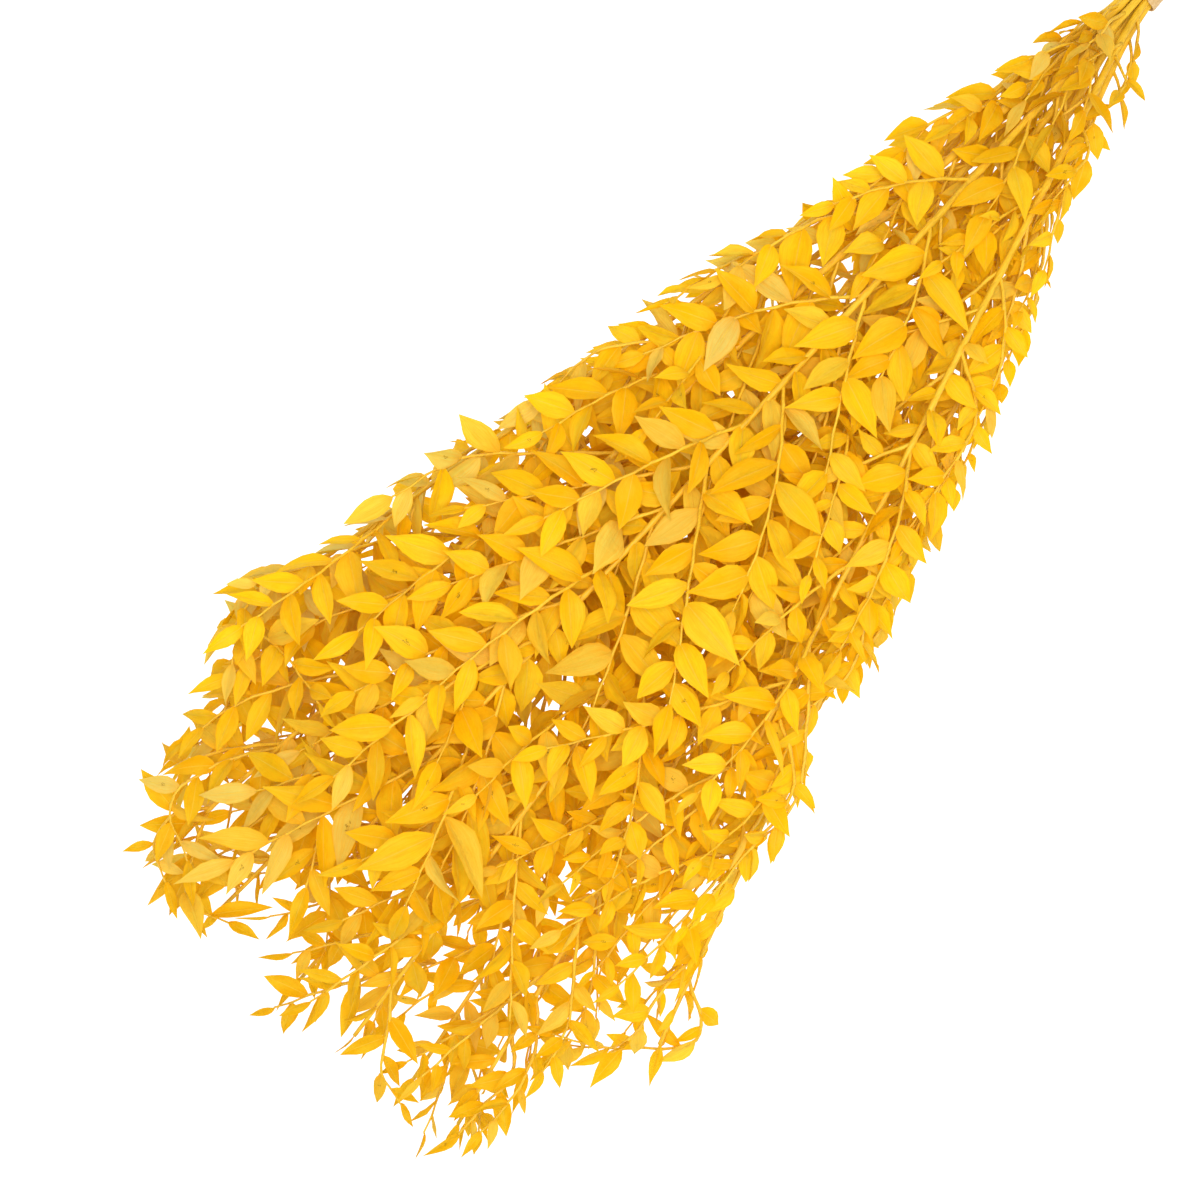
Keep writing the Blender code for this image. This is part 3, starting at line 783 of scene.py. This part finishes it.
def search_tree(lines):
    """One search tree of the surfaces of many tubes."""
    points = []
    faces = []
    for line, radii, sides in lines:
        bm = tube(line, radii, sides)
        faces += [[len(points) + vert.index for vert in face.verts] for face in bm.faces]
        points += [vert.co.copy() for vert in bm.verts]
        bm.free()
    return BVHTree.FromPolygons(points, faces)


def leaf_template():
    """A closed flat leaf to bend into each real one: x runs from 0 at its base to 1 at its tip, y from
    -1 to 1 across it, and z is 1 on its upper face, -1 on its lower face and 0 on its rim."""
    rows = len(LEAF_ROWS) - 1
    bm = bmesh.new()
    bmesh.ops.create_grid(bm, x_segments=rows, y_segments=LEAF_COLUMNS, size=1.0)
    for vert in bm.verts:
        row = round((vert.co.x + 1) / 2 * rows)
        at_end = row in (0, rows)
        on_rim = at_end or abs(vert.co.y) > 0.99
        vert.co = (LEAF_ROWS[row], 0 if at_end else vert.co.y, 0 if on_rim else 1)
    bmesh.ops.remove_doubles(bm, verts=bm.verts, dist=1e-4)
    lower = bmesh.ops.duplicate(bm, geom=bm.verts[:] + bm.edges[:] + bm.faces[:])["geom"]
    bmesh.ops.scale(bm, vec=(1, 1, -1), verts=of_kind(lower, bmesh.types.BMVert))
    bmesh.ops.reverse_faces(bm, faces=of_kind(lower, bmesh.types.BMFace))
    bmesh.ops.remove_doubles(bm, verts=bm.verts, dist=1e-4)
    blade = bm.loops.layers.uv.new("blade")
    bm.verts.layers.float_color.new("growth")
    for face in bm.faces:
        face.smooth = True
        for loop in face.loops:
            loop[blade].uv = (loop.vert.co.x, (loop.vert.co.y + 1) / 2)
    for edge in bm.edges:
        edge.smooth = not all(vert.co.z == 0 for vert in edge.verts)
    mesh = bpy.data.meshes.new("leaf_template")
    bm.to_mesh(mesh)
    bm.free()
    return mesh


def outline(u, rise, fall):
    """Half a leaf's width at u, as a share of its widest half. A greater fall draws out its tip."""
    widest_at = rise / (rise + fall)
    return (u / widest_at) ** rise * max(0.0, (1 - u) / (1 - widest_at)) ** fall


class Habit:
    """How one dried leaf is cupped, rippled, twisted and hooked, and the colour that it took."""

    def __init__(self, rng):
        self.rise = rng.uniform(*OUTLINE_RISES)
        self.fall = rng.uniform(*OUTLINE_FALLS)
        self.cup = rng.uniform(*CUPPING)
        self.ripple = rng.uniform(*RIPPLES)
        self.phase = rng.uniform(0, math.tau)
        self.twist = math.radians(rng.uniform(*TWISTS))
        self.hook = rng.uniform(*HOOKS)
        self.tone = rng.random()
        self.seed = rng.random()

    def held(self, share):
        """The same leaf pressed flatter by its neighbours."""
        flatter = copy.copy(self)
        for form in ("cup", "ripple", "twist", "hook"):
            setattr(flatter, form, share * getattr(self, form))
        return flatter


def fine_point(leaf, habit, shift, u, v, face):
    """A point of a real leaf: the form of its solid, with cupped halves, a rippled rim and a hooked tip."""
    half = leaf.width / 2
    wide = outline(u, habit.rise, habit.fall)
    across = wide * v
    height = leaf.fold * abs(across) * half - leaf.arch * leaf.length * u * u
    height += habit.cup * wide * abs(v) * (1 - abs(v)) * half
    wave = math.sin(habit.phase + math.tau * RIPPLE_COUNT * u * (1 if v > 0 else -1))
    height += habit.ripple * wave * v * v * wide * half
    thickness = RIB_THICKNESS if v == 0 else BLADE_THICKNESS
    height += face * thickness / 2
    aside = across * half + habit.hook * half * max(0.0, u - HOOK_FROM) ** 2
    turn = habit.twist * u
    side = leaf.normal.cross(leaf.along)
    turned_side = side * math.cos(turn) + leaf.normal * math.sin(turn)
    turned_normal = leaf.normal * math.cos(turn) - side * math.sin(turn)
    return leaf.base + shift + leaf.along * u * leaf.length + turned_side * aside + turned_normal * height


def settled_blade(template, leaf, shift, habit, blades):
    """The points of a leaf, held flatter, then turned and made smaller until it crosses no other."""
    faces = [face.vertices[:] for face in template.polygons]
    tries = [(share, 0, 1.0) for share in HELD_FLATTER]
    tries += [(0.0, turn, size) for turn, size in TURNED_AND_SIZED]
    for share, turn, size in tries:
        held = habit.held(share)
        fitted = leaf.fitted(turn, size)
        points = [fine_point(fitted, held, shift, *vert.co) for vert in template.vertices]
        for point in points:
            point.z = max(point.z, 0.0)
        blade = BVHTree.FromPolygons(points, faces)
        if not any(blade.overlap(other) for other in blades.near(leaf.at(0.5, 0))):
            break
    blades.add(leaf.at(0.5, 0), blade)
    return points


def add_leaf(bm, template, points, growth):
    """Bends a copy of the template into a leaf of the bunch."""
    first = len(bm.verts)
    bm.from_mesh(template)
    bm.verts.ensure_lookup_table()
    layer = bm.verts.layers.float_color["growth"]
    for vert, point in zip(bm.verts[first:], points):
        vert.co = point
        vert[layer] = growth


def leaf_growth(leaf, habit):
    """What the leaf's material reads: its tone, how pale it is, its own random number, how withered."""
    left = read_row(ENVELOPE, leaf.base.x)[0]
    outer = max(0.0, leaf.base.y / left)
    # Painted shade: paleness rises towards the left edge of the bunch, away from the key light.
    pale = max(0.0, (habit.seed * PALE_DRAW) % 1.0 - PALE_FROM + PALE_AS_SHADE_ON_LEFT * outer) * PALE_RISE
    withered = max(0.0, (habit.seed * WITHERED_DRAW) % 1.0 - WITHERED_FROM) * WITHERED_RISE
    return (habit.tone, min(1.0, pale), habit.seed, withered)


def fine_twig(line):
    """The rings of a real twig: it swells and turns a little at each leaf."""
    length = line_length(line)
    end = length - SAMPLE_EVERY / 3
    half = LEAF_EVERY / 2
    count = int(end / half)
    distances = [0.0] + [end - half * k for k in range(count, 0, -1)] + [end, length]
    points = []
    radii = []
    for distance in distances:
        point, ahead = smooth_along(line, distance)
        share = distance / length
        radius = FINE_TWIG_ROOT_RADIUS + (FINE_TWIG_TIP_RADIUS - FINE_TWIG_ROOT_RADIUS) * share
        from_tip = (end - distance) / LEAF_EVERY
        at_leaf = abs(from_tip - round(from_tip)) < 0.1 and distance > BARE_TWIG_ROOT / 2
        if at_leaf:
            side = 1 if round(from_tip) % 2 else -1
            point = point + side * UP.cross(ahead).normalized() * ZIGZAG
            radius *= 1 + NODE_SWELLS
        points.append(point)
        radii.append(radius)
    return points, radii


def fine_stem(line, roots):
    """The rings of a real stem: it swells where each twig leaves it."""
    length = line_length(line)
    count = round(length / FINE_STEM_RING_EVERY)
    distances = [length * k / count for k in range(count + 1)]
    near = NODE_CLEARS * NODE_LENGTH
    for root in roots:
        distances = [d for d in distances if not 0 < abs(d - root) < near or d in (0, length)]
        distances += [root - NODE_LENGTH, root, root + NODE_LENGTH]
    distances = sorted(d for d in distances if 0 <= d <= length)
    points = []
    radii = []
    for distance in distances:
        point, _ = smooth_along(line, distance)
        share = max(0.0, point.x / line[-1].x)
        radius = STEM_RADIUS + (STEM_TIP_RADIUS - STEM_RADIUS) * share
        nearest = min((abs(distance - root) for root in roots), default=1.0)
        swell = NODE_SWELLS * math.exp(-((nearest / NODE_LENGTH) ** 2) * NODE_FALL)
        points.append(point)
        radii.append(radius * (1 + swell * min(1.0, max(0.0, point.x / FULL_SWELL_AT))))
    return points, radii


def append_mesh(bm, other):
    """Adds one bmesh to another."""
    for face in other.faces:
        face.smooth = True
    mesh = bpy.data.meshes.new("part")
    other.to_mesh(mesh)
    other.free()
    bm.from_mesh(mesh)
    bpy.data.meshes.remove(mesh)


def finished(name, bm, looks):
    mesh = bpy.data.meshes.new(name)
    bm.to_mesh(mesh)
    bm.free()
    for look in looks:
        mesh.materials.append(look)
    piece = bpy.data.objects.new(name, mesh)
    bpy.context.scene.collection.objects.link(piece)
    return piece


def cut_end(bm, rng):
    """Cuts a stem off aslant near its thick end, as secateurs leave it."""
    tilt = Matrix.Rotation(math.radians(rng.uniform(*CUT_TILTS)), 3, "Y")
    turn = Matrix.Rotation(math.radians(rng.uniform(*CUT_TILTS)), 3, "Z")
    low = min(bm.verts, key=lambda vert: vert.co.x).co
    place = Vector((CUT_ENDS_AT + CUT_FROM + rng.uniform(*CUT_SETBACKS), low.y, low.z))
    everything = bm.verts[:] + bm.edges[:] + bm.faces[:]
    normal = turn @ tilt @ Vector((-1, 0, 0))
    cut = bmesh.ops.bisect_plane(
        bm, geom=everything, plane_co=place, plane_no=normal, clear_outer=True
    )
    edges = of_kind(cut["geom_cut"], bmesh.types.BMEdge)
    bmesh.ops.edgeloop_fill(bm, edges=edges, mat_nr=CUT_LOOK)
    bmesh.ops.recalc_face_normals(bm, faces=bm.faces)
    for edge in edges:
        edge.smooth = False


def leafy_stem(number, line, twigs, leaves, blades, template, looks):
    """A real stem with its twigs and all its leaves, in place of the solid one."""
    rng = random.Random(MORE_LEAVES_SEED + number)
    roots = sorted(distance_of(line, twig[0]) for twig in twigs)
    bm = tube(*fine_stem(line, roots), FINE_STEM_SIDES)
    for face in bm.faces:
        face.material_index = BARK_LOOK
        face.smooth = True
    cut_end(bm, rng)
    bm.loops.layers.uv.new("blade")
    bm.verts.layers.float_color.new("growth")
    for twig in twigs:
        wood = tube(*fine_twig(twig), FINE_TWIG_SIDES)
        for face in wood.faces:
            face.material_index = BARK_LOOK
        append_mesh(bm, wood)
    for leaf, leafy, distance in leaves:
        habit = Habit(rng)
        shift = smooth_along(leafy, distance)[0] - leaf.base
        points = settled_blade(template, leaf, shift, habit, blades)
        add_leaf(bm, template, points, leaf_growth(leaf, habit))
    piece = finished("ruscus_stem_{:02d}".format(number + 1), bm, looks)
    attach(piece, BODY)
    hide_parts("leafy_stem_{:02d}".format(number + 1))


def distance_of(line, point):
    """How far along a line the given point of it lies."""
    passed = 0.0
    best = None
    for before, after in zip(line, line[1:]):
        span = after - before
        share = min(max((point - before).dot(span) / span.length_squared, 0.0), 1.0)
        gap = (before + span * share - point).length
        if best is None or gap < best[0]:
            best = (gap, passed + span.length * share)
        passed += span.length
    return best[1]


def wound_band(look):
    """The elastic band: a strip wound three times that crosses back over its middle turn on top."""
    axis_z, radius, half_width = band_size()
    middle = radius - BAND_STRIP_THICKNESS / 2
    outermost = half_width - BAND_STRIP_WIDTH / 2
    whole = 360 * BAND_TURNS
    places = []
    for step in range(BAND_STEPS + 1):
        turned = whole * step / BAND_STEPS
        # The strip crosses on top, where its last turn goes back over the others to its first.
        if turned < CROSSING_ARC:
            share = turned / CROSSING_ARC
            x = outermost * math.cos(math.pi * share)
            raised = CROSSING_LIFT * math.sin(math.pi * share)
        else:
            along = (turned - CROSSING_ARC) / (whole - CROSSING_ARC)
            x = -outermost + 2 * outermost * along
            raised = 0.0
        angle = math.radians(90 - CROSSING_ARC / 2 + turned)
        outward = Vector((0, math.cos(angle), math.sin(angle)))
        forward = Vector((0, -math.sin(angle), math.cos(angle)))
        place = Vector((x, 0, axis_z)) + outward * (middle + raised)
        turned_strip = Matrix((Vector((1, 0, 0)), outward, forward)).transposed().to_4x4()
        size = Matrix.Diagonal((BAND_STRIP_WIDTH / 2, BAND_STRIP_THICKNESS / 2, 1, 1))
        places.append(Matrix.Translation(place) @ turned_strip @ size)
    bm = swept(places, BAND_CORNERS, closed=True)
    for vert in bm.verts:
        vert.co.z = max(vert.co.z, 0.0)
    for face in bm.faces:
        face.smooth = True
    piece = finished("wound_elastic_band", bm, [look])
    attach(piece, BODY)
    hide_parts(BAND_NODE)


def linear(hex_colour):
    """An sRGB hex colour as linear red, green, blue and alpha."""
    shares = [int(hex_colour[k : k + 2], 16) / 255 for k in (1, 3, 5)]
    return tuple(s / 12.92 if s <= 0.04045 else ((s + 0.055) / 1.055) ** 2.4 for s in shares) + (1.0,)


def add_node(tree, kind, links=None, **settings):
    """A node of a material, with its settings and with its sockets set or linked. A node given for a
    socket is linked by its first output."""
    made = tree.nodes.new(kind)
    for name, value in settings.items():
        setattr(made, name, value)
    for socket, value in (links or {}).items():
        if isinstance(value, bpy.types.Node):
            value = value.outputs[0]
        if isinstance(value, bpy.types.NodeSocket):
            tree.links.new(value, made.inputs[socket])
        else:
            made.inputs[socket].default_value = value
    return made


def new_look(name):
    look = bpy.data.materials.new(name)
    look.use_nodes = True
    look.node_tree.nodes.clear()
    return look, look.node_tree


def set_ramp(ramp, places, colours):
    """Gives a colour ramp its stops, each a place and a hex colour."""
    elements = ramp.color_ramp.elements
    while len(elements) < len(places):
        elements.new(0.5)
    for element, place, colour in zip(elements, places, colours):
        element.position = place
        element.color = linear(colour)


def glycerined_leaf():
    """A ruscus leaf bleached, soaked in glycerine and yellow dye, and dried. That leaves a soft satin
    blade that glows where light comes through it, with faint lengthwise veins and a paler rib."""
    look, tree = new_look("glycerined_ruscus_leaf")
    growth = add_node(tree, "ShaderNodeAttribute", attribute_name="growth")
    tone, pale, own = add_node(tree, "ShaderNodeSeparateColor", {"Color": growth}).outputs
    withered = growth.outputs["Alpha"]
    blade = add_node(tree, "ShaderNodeUVMap", uv_map="blade")
    along, across, _ = add_node(tree, "ShaderNodeSeparateXYZ", {"Vector": blade}).outputs
    object_place = add_node(tree, "ShaderNodeTexCoord").outputs["Object"]
    along_bunch = add_node(tree, "ShaderNodeSeparateXYZ", {"Vector": object_place})
    colour = add_node(tree, "ShaderNodeValToRGB", {"Fac": tone})
    set_ramp(colour, (0.0, 0.35, 0.70, 1.0), LEAF_TONES)

    # Each leaf reads the noises at a place of its own. Dye dried unevenly: broad clouds on a blade, and
    # fine streaks along its veins, about 1 mm apart.
    noises = []
    for stretch, detail in ((CLOUD_STRETCH, 3.0), (STREAK_STRETCH, 2.0)):
        scaled = {0: blade, 1: stretch}
        scaled = add_node(tree, "ShaderNodeVectorMath", scaled, operation="MULTIPLY")
        placed = {0: growth.outputs["Vector"], 1: LEAF_OFFSETS, 2: scaled}
        placed = add_node(tree, "ShaderNodeVectorMath", placed, operation="MULTIPLY_ADD")
        read = {"Vector": placed, "Scale": 1.0, "Detail": detail}
        noises.append(add_node(tree, "ShaderNodeTexNoise", read))
    clouds, streaks = noises
    crumpled = {"Vector": object_place, "Scale": 1000 / WRINKLES_MM, "Detail": 2.0}
    wrinkles = add_node(tree, "ShaderNodeTexNoise", crumpled)

    # How far from the rib, 0 at the rib and 0.5 at the rim.
    centred = add_node(tree, "ShaderNodeMath", {0: across, 1: 0.5}, operation="SUBTRACT")
    off_rib = add_node(tree, "ShaderNodeMath", {0: centred}, operation="ABSOLUTE")
    rib = {"Value": off_rib, 1: 0.006, 2: 0.036, 3: 0.55, 4: 0.0}
    rib = add_node(tree, "ShaderNodeMapRange", rib)

    # The mark that a flower left: a curl of thin brown line on the rib of some leaves.
    shaking = {"Vector": object_place, "Scale": 1000 / SHAKES_MM, "Detail": 1.0}
    shaking = add_node(tree, "ShaderNodeTexNoise", shaking).outputs["Color"]
    curl_u = add_node(tree, "ShaderNodeMath", {0: along, 1: MARK_AT}, operation="SUBTRACT")
    curl_v = add_node(tree, "ShaderNodeMath", {0: centred, 1: MARK_ROUNDS}, operation="MULTIPLY")
    curl = add_node(tree, "ShaderNodeCombineXYZ", {"X": curl_u, "Y": curl_v})
    shaken = {0: shaking, 1: MARK_SHAKE, 2: curl}
    shaken = add_node(tree, "ShaderNodeVectorMath", shaken, operation="MULTIPLY_ADD")
    centre = {0: shaken, 1: MARK_SHAKE / 2}
    centre = add_node(tree, "ShaderNodeVectorMath", centre, operation="SUBTRACT")
    radius = add_node(tree, "ShaderNodeVectorMath", {0: centre}, operation="LENGTH").outputs["Value"]
    off_line = add_node(tree, "ShaderNodeMath", {0: radius, 1: MARK_RADIUS}, operation="SUBTRACT")
    off_line = add_node(tree, "ShaderNodeMath", {0: off_line}, operation="ABSOLUTE")
    line = {"Value": off_line, 1: MARK_LINE[0], 2: MARK_LINE[1], 3: MARK_STRENGTH, 4: 0.0}
    line = add_node(tree, "ShaderNodeMapRange", line)
    marked = add_node(tree, "ShaderNodeMath", {0: own, 1: MARK_FROM}, operation="GREATER_THAN")
    mark = add_node(tree, "ShaderNodeMath", {0: line, 1: marked}, operation="MULTIPLY")

    # What lies over the leaf's own tone: each row is (what it follows, from, to, share at each, colour).
    for value, low, high, at_low, at_high, over in (
        # Painted shade: the leaves darken towards the far end and the near end of the bunch, where the
        # light falls off.
        (along_bunch, 0.54, 0.70, 0.0, 0.75, LEAF_SHADE_AT_ENDS),
        (along_bunch, 0.00, 0.16, 0.95, 0.0, LEAF_SHADE_AT_ENDS),
        (clouds, 0.42, 0.66, 0.0, 0.55, LEAF_OLIVE),
        # Pale leaves: partly their own tone at random, partly painted shade gathering towards the left
        # edge.
        (pale, 0.0, 1.0, 0.0, 1.0, LEAF_PALE),
        (streaks, 0.40, 0.68, 0.0, 0.42, LEAF_DEEP_STREAK_AND_SHADE),
        # Painted shade: the blade deepens to orange towards its base, where it meets the twig.
        (along, 0.0, 0.30, 0.45, 0.0, LEAF_DEEP_STREAK_AND_SHADE),
        (off_rib, 0.40, 0.50, 0.0, 0.40, LEAF_RIM),
        (rib, 0.0, 1.0, 0.0, 1.0, LEAF_RIB),
        (mark, 0.0, 1.0, 0.0, 1.0, LEAF_SPECK),
        (withered, 0.0, 1.0, 0.0, 1.0, LEAF_WITHERED),
    ):
        share = {"Value": value, 1: low, 2: high, 3: at_low, 4: at_high}
        share = add_node(tree, "ShaderNodeMapRange", share)
        mixed = {0: share, 6: colour, 7: linear(over)}
        colour = add_node(tree, "ShaderNodeMix", mixed, data_type="RGBA").outputs[2]

    # The relief, from the coarsest: each row is (what it follows, its depth, its strength).
    normal = None
    for height, depth, strength in (
        (wrinkles, 0.0016, 0.55),
        (streaks, 0.00022, 0.40),
        (rib, 0.00022, 0.60),
    ):
        relief = {"Height": height, "Distance": depth, "Strength": strength}
        if normal:
            relief["Normal"] = normal
        normal = add_node(tree, "ShaderNodeBump", relief)
    body = {"Base Color": colour, "Roughness": 0.60, "Specular IOR Level": 0.12, "Normal": normal}
    body = add_node(tree, "ShaderNodeBsdfPrincipled", body)
    warm = {0: GLOW_WARMS, 6: colour, 7: linear(LEAF_GLOW)}
    warm = add_node(tree, "ShaderNodeMix", warm, data_type="RGBA").outputs[2]
    glow = add_node(tree, "ShaderNodeBsdfTranslucent", {"Color": warm, "Normal": normal})
    both = add_node(tree, "ShaderNodeMixShader", {0: THROUGH_LEAF, 1: body, 2: glow})
    add_node(tree, "ShaderNodeOutputMaterial", {"Surface": both})
    return look


def dyed_bark():
    """The thin bark of a ruscus stem, dyed with its leaves: satin, finely ridged along the stem, and
    darker in the furrows where the dye gathered."""
    look, tree = new_look("dyed_ruscus_bark")
    place = add_node(tree, "ShaderNodeTexCoord").outputs["Object"]
    stretched = add_node(tree, "ShaderNodeMapping", {"Vector": place, "Scale": RIDGE_STRETCH})
    ridges = {"Vector": stretched, "Scale": 1000 / RIDGES_MM, "Detail": 3.0}
    ridges = add_node(tree, "ShaderNodeTexNoise", ridges)
    patches = {"Vector": place, "Scale": 1000 / BARK_PATCHES_MM, "Detail": 4.0}
    patches = add_node(tree, "ShaderNodeTexNoise", patches)
    # Both noises lie round 0.5, so their sum is spread out from round 1 to the whole of the ramp.
    mixed = add_node(tree, "ShaderNodeMath", {0: ridges, 1: patches}, operation="ADD")
    spread = add_node(tree, "ShaderNodeMapRange", {"Value": mixed, 1: 0.75, 2: 1.25, 3: 0.0, 4: 1.0})
    tones = add_node(tree, "ShaderNodeValToRGB", {"Fac": spread})
    set_ramp(tones, (0.0, 0.45, 1.0), BARK_TONES)
    relief = add_node(
        tree, "ShaderNodeBump", {"Height": ridges, "Distance": 0.0002, "Strength": 0.35}
    )
    body = {"Base Color": tones, "Roughness": 0.55, "Normal": relief}
    body = add_node(tree, "ShaderNodeBsdfPrincipled", body)
    add_node(tree, "ShaderNodeOutputMaterial", {"Surface": body})
    return look


def cut_wood():
    """Ruscus wood where secateurs cut it: pale and dry, with open pores and a bruised edge."""
    look, tree = new_look("cut_ruscus_wood")
    place = add_node(tree, "ShaderNodeTexCoord").outputs["Object"]
    pores = add_node(tree, "ShaderNodeTexVoronoi", {"Vector": place, "Scale": 1000 / PORES_MM})
    bruises = {"Vector": place, "Scale": 1000 / BRUISES_MM, "Detail": 3.0}
    bruises = add_node(tree, "ShaderNodeTexNoise", bruises)
    mixed = add_node(tree, "ShaderNodeMath", {0: pores, 1: bruises}, operation="MULTIPLY")
    tones = add_node(tree, "ShaderNodeValToRGB", {"Fac": mixed})
    set_ramp(tones, (0.05, 0.25, 0.5), CUT_WOOD_TONES)
    body = add_node(tree, "ShaderNodeBsdfPrincipled", {"Base Color": tones, "Roughness": 0.85})
    add_node(tree, "ShaderNodeOutputMaterial", {"Surface": body})
    return look


def natural_rubber():
    """Natural rubber, extruded and cut into bands: matt amber, with a bloom of fine powder."""
    look, tree = new_look("natural_rubber_strip")
    place = add_node(tree, "ShaderNodeTexCoord").outputs["Object"]
    bloom = {"Vector": place, "Scale": 1000 / BLOOM_MM, "Detail": 5.0}
    bloom = add_node(tree, "ShaderNodeTexNoise", bloom)
    tones = add_node(tree, "ShaderNodeValToRGB", {"Fac": bloom})
    set_ramp(tones, (0.30, 0.50, 0.72), RUBBER_TONES)
    relief = add_node(
        tree, "ShaderNodeBump", {"Height": bloom, "Distance": 0.0001, "Strength": 0.12}
    )
    body = {"Base Color": tones, "Roughness": 0.62, "Normal": relief}
    body = add_node(tree, "ShaderNodeBsdfPrincipled", body)
    add_node(tree, "ShaderNodeOutputMaterial", {"Surface": body})
    return look


def photograph_camera():
    camera = bpy.data.cameras.new("camera")
    camera.sensor_fit = "HORIZONTAL"
    camera.sensor_width = SENSOR
    camera.lens = LENS
    camera.clip_end = CAMERA_REACH
    right = VIEW_RIGHT.normalized()
    turned = Matrix((right, UP.cross(right), UP)).transposed().to_4x4()
    seen = bpy.data.objects.new("camera", camera)
    seen.matrix_world = Matrix.Translation(VIEW_CENTRE + UP * VIEW_WIDTH * LENS / SENSOR) @ turned
    bpy.context.scene.collection.objects.link(seen)
    bpy.context.scene.camera = seen


def soft_light(name, place, size, power):
    """A square light at a place, turned to the middle of the view."""
    light = bpy.data.lights.new(name, "AREA")
    light.shape = "SQUARE"
    light.size = size
    light.energy = power
    light.color = linear(LIGHT_COLOUR)[:3]
    lamp = bpy.data.objects.new(name, light)
    place = Vector(place)
    turned = (place - VIEW_CENTRE).to_track_quat("Z", "Y").to_matrix().to_4x4()
    lamp.matrix_world = Matrix.Translation(place) @ turned
    bpy.context.scene.collection.objects.link(lamp)


def studio():
    """A white sweep under soft light, bright enough that it holds almost no shadow."""
    look, tree = new_look("white_paper_sweep")
    body = {
        "Base Color": linear(FLOOR_GREY),
        "Roughness": 0.9,
        "Specular IOR Level": 0.1,
        "Emission Color": linear(WHITE),
        "Emission Strength": FLOOR_GLOW,
    }
    body = add_node(tree, "ShaderNodeBsdfPrincipled", body)
    add_node(tree, "ShaderNodeOutputMaterial", {"Surface": body})
    bm = bmesh.new()
    bmesh.ops.create_grid(bm, x_segments=1, y_segments=1, size=FLOOR_SIZE / 2)
    bmesh.ops.translate(bm, vec=(0, 0, -FLOOR_BELOW), verts=bm.verts)
    finished("white_sweep", bm, [look])

    # White walls all round, and a ceiling that sends down less light than they do.
    world = bpy.data.worlds.new("studio")
    world.use_nodes = True
    tree = world.node_tree
    tree.nodes.clear()
    direction = add_node(tree, "ShaderNodeTexCoord").outputs["Generated"]
    height = add_node(tree, "ShaderNodeSeparateXYZ", {"Vector": direction}).outputs["Z"]
    low, high = CEILING_FROM
    strength = {"Value": height, 1: low, 2: high, 3: WALL_STRENGTH, 4: CEILING_STRENGTH}
    strength = add_node(tree, "ShaderNodeMapRange", strength)
    background = {"Color": linear(WHITE), "Strength": strength}
    background = add_node(tree, "ShaderNodeBackground", background)
    add_node(tree, "ShaderNodeOutputWorld", {"Surface": background})
    bpy.context.scene.world = world
    for light in LIGHTS:
        soft_light(*light)
    bpy.context.scene.view_settings.view_transform = "Standard"


def main():
    photograph_camera()
    studio()
    looks = [glycerined_leaf(), dyed_bark(), cut_wood()]
    wood = Cells(WOOD_CELL)
    foliage = Cells(LEAF_CELL)
    stems = [stem_line(place, tip, arch) for place, tip, arch, _ in STEMS]
    twigs = grow_wood(wood, stems)
    lines = [(line, stem_radii(line), STEM_SIDES) for line in stems]
    lines += [(twig, twig_radii(), TWIG_SIDES) for grown in twigs for twig in grown]
    leaves, bare = grow_leaves(foliage, stems, twigs, search_tree(lines))
    more_twigs = grow_more_wood(wood, stems)
    lines += [(twig, twig_radii(), TWIG_SIDES) for grown in more_twigs for twig in grown]
    for number, grown in enumerate(more_twigs):
        places = leaf_places(number, stems[number], grown, MORE_LEAVES_SEED)
        bare += [(number, *place) for place in places if place[0] is not stems[number]]
    grow_more_leaves(foliage, bare, search_tree(lines), leaves)
    template = leaf_template()
    blades = Cells(LEAF_CELL)
    for number, line in enumerate(stems):
        grown = twigs[number] + more_twigs[number]
        leafy_stem(number, line, grown, leaves[number], blades, template, looks)
    bpy.data.meshes.remove(template)
    wound_band(natural_rubber())


main()
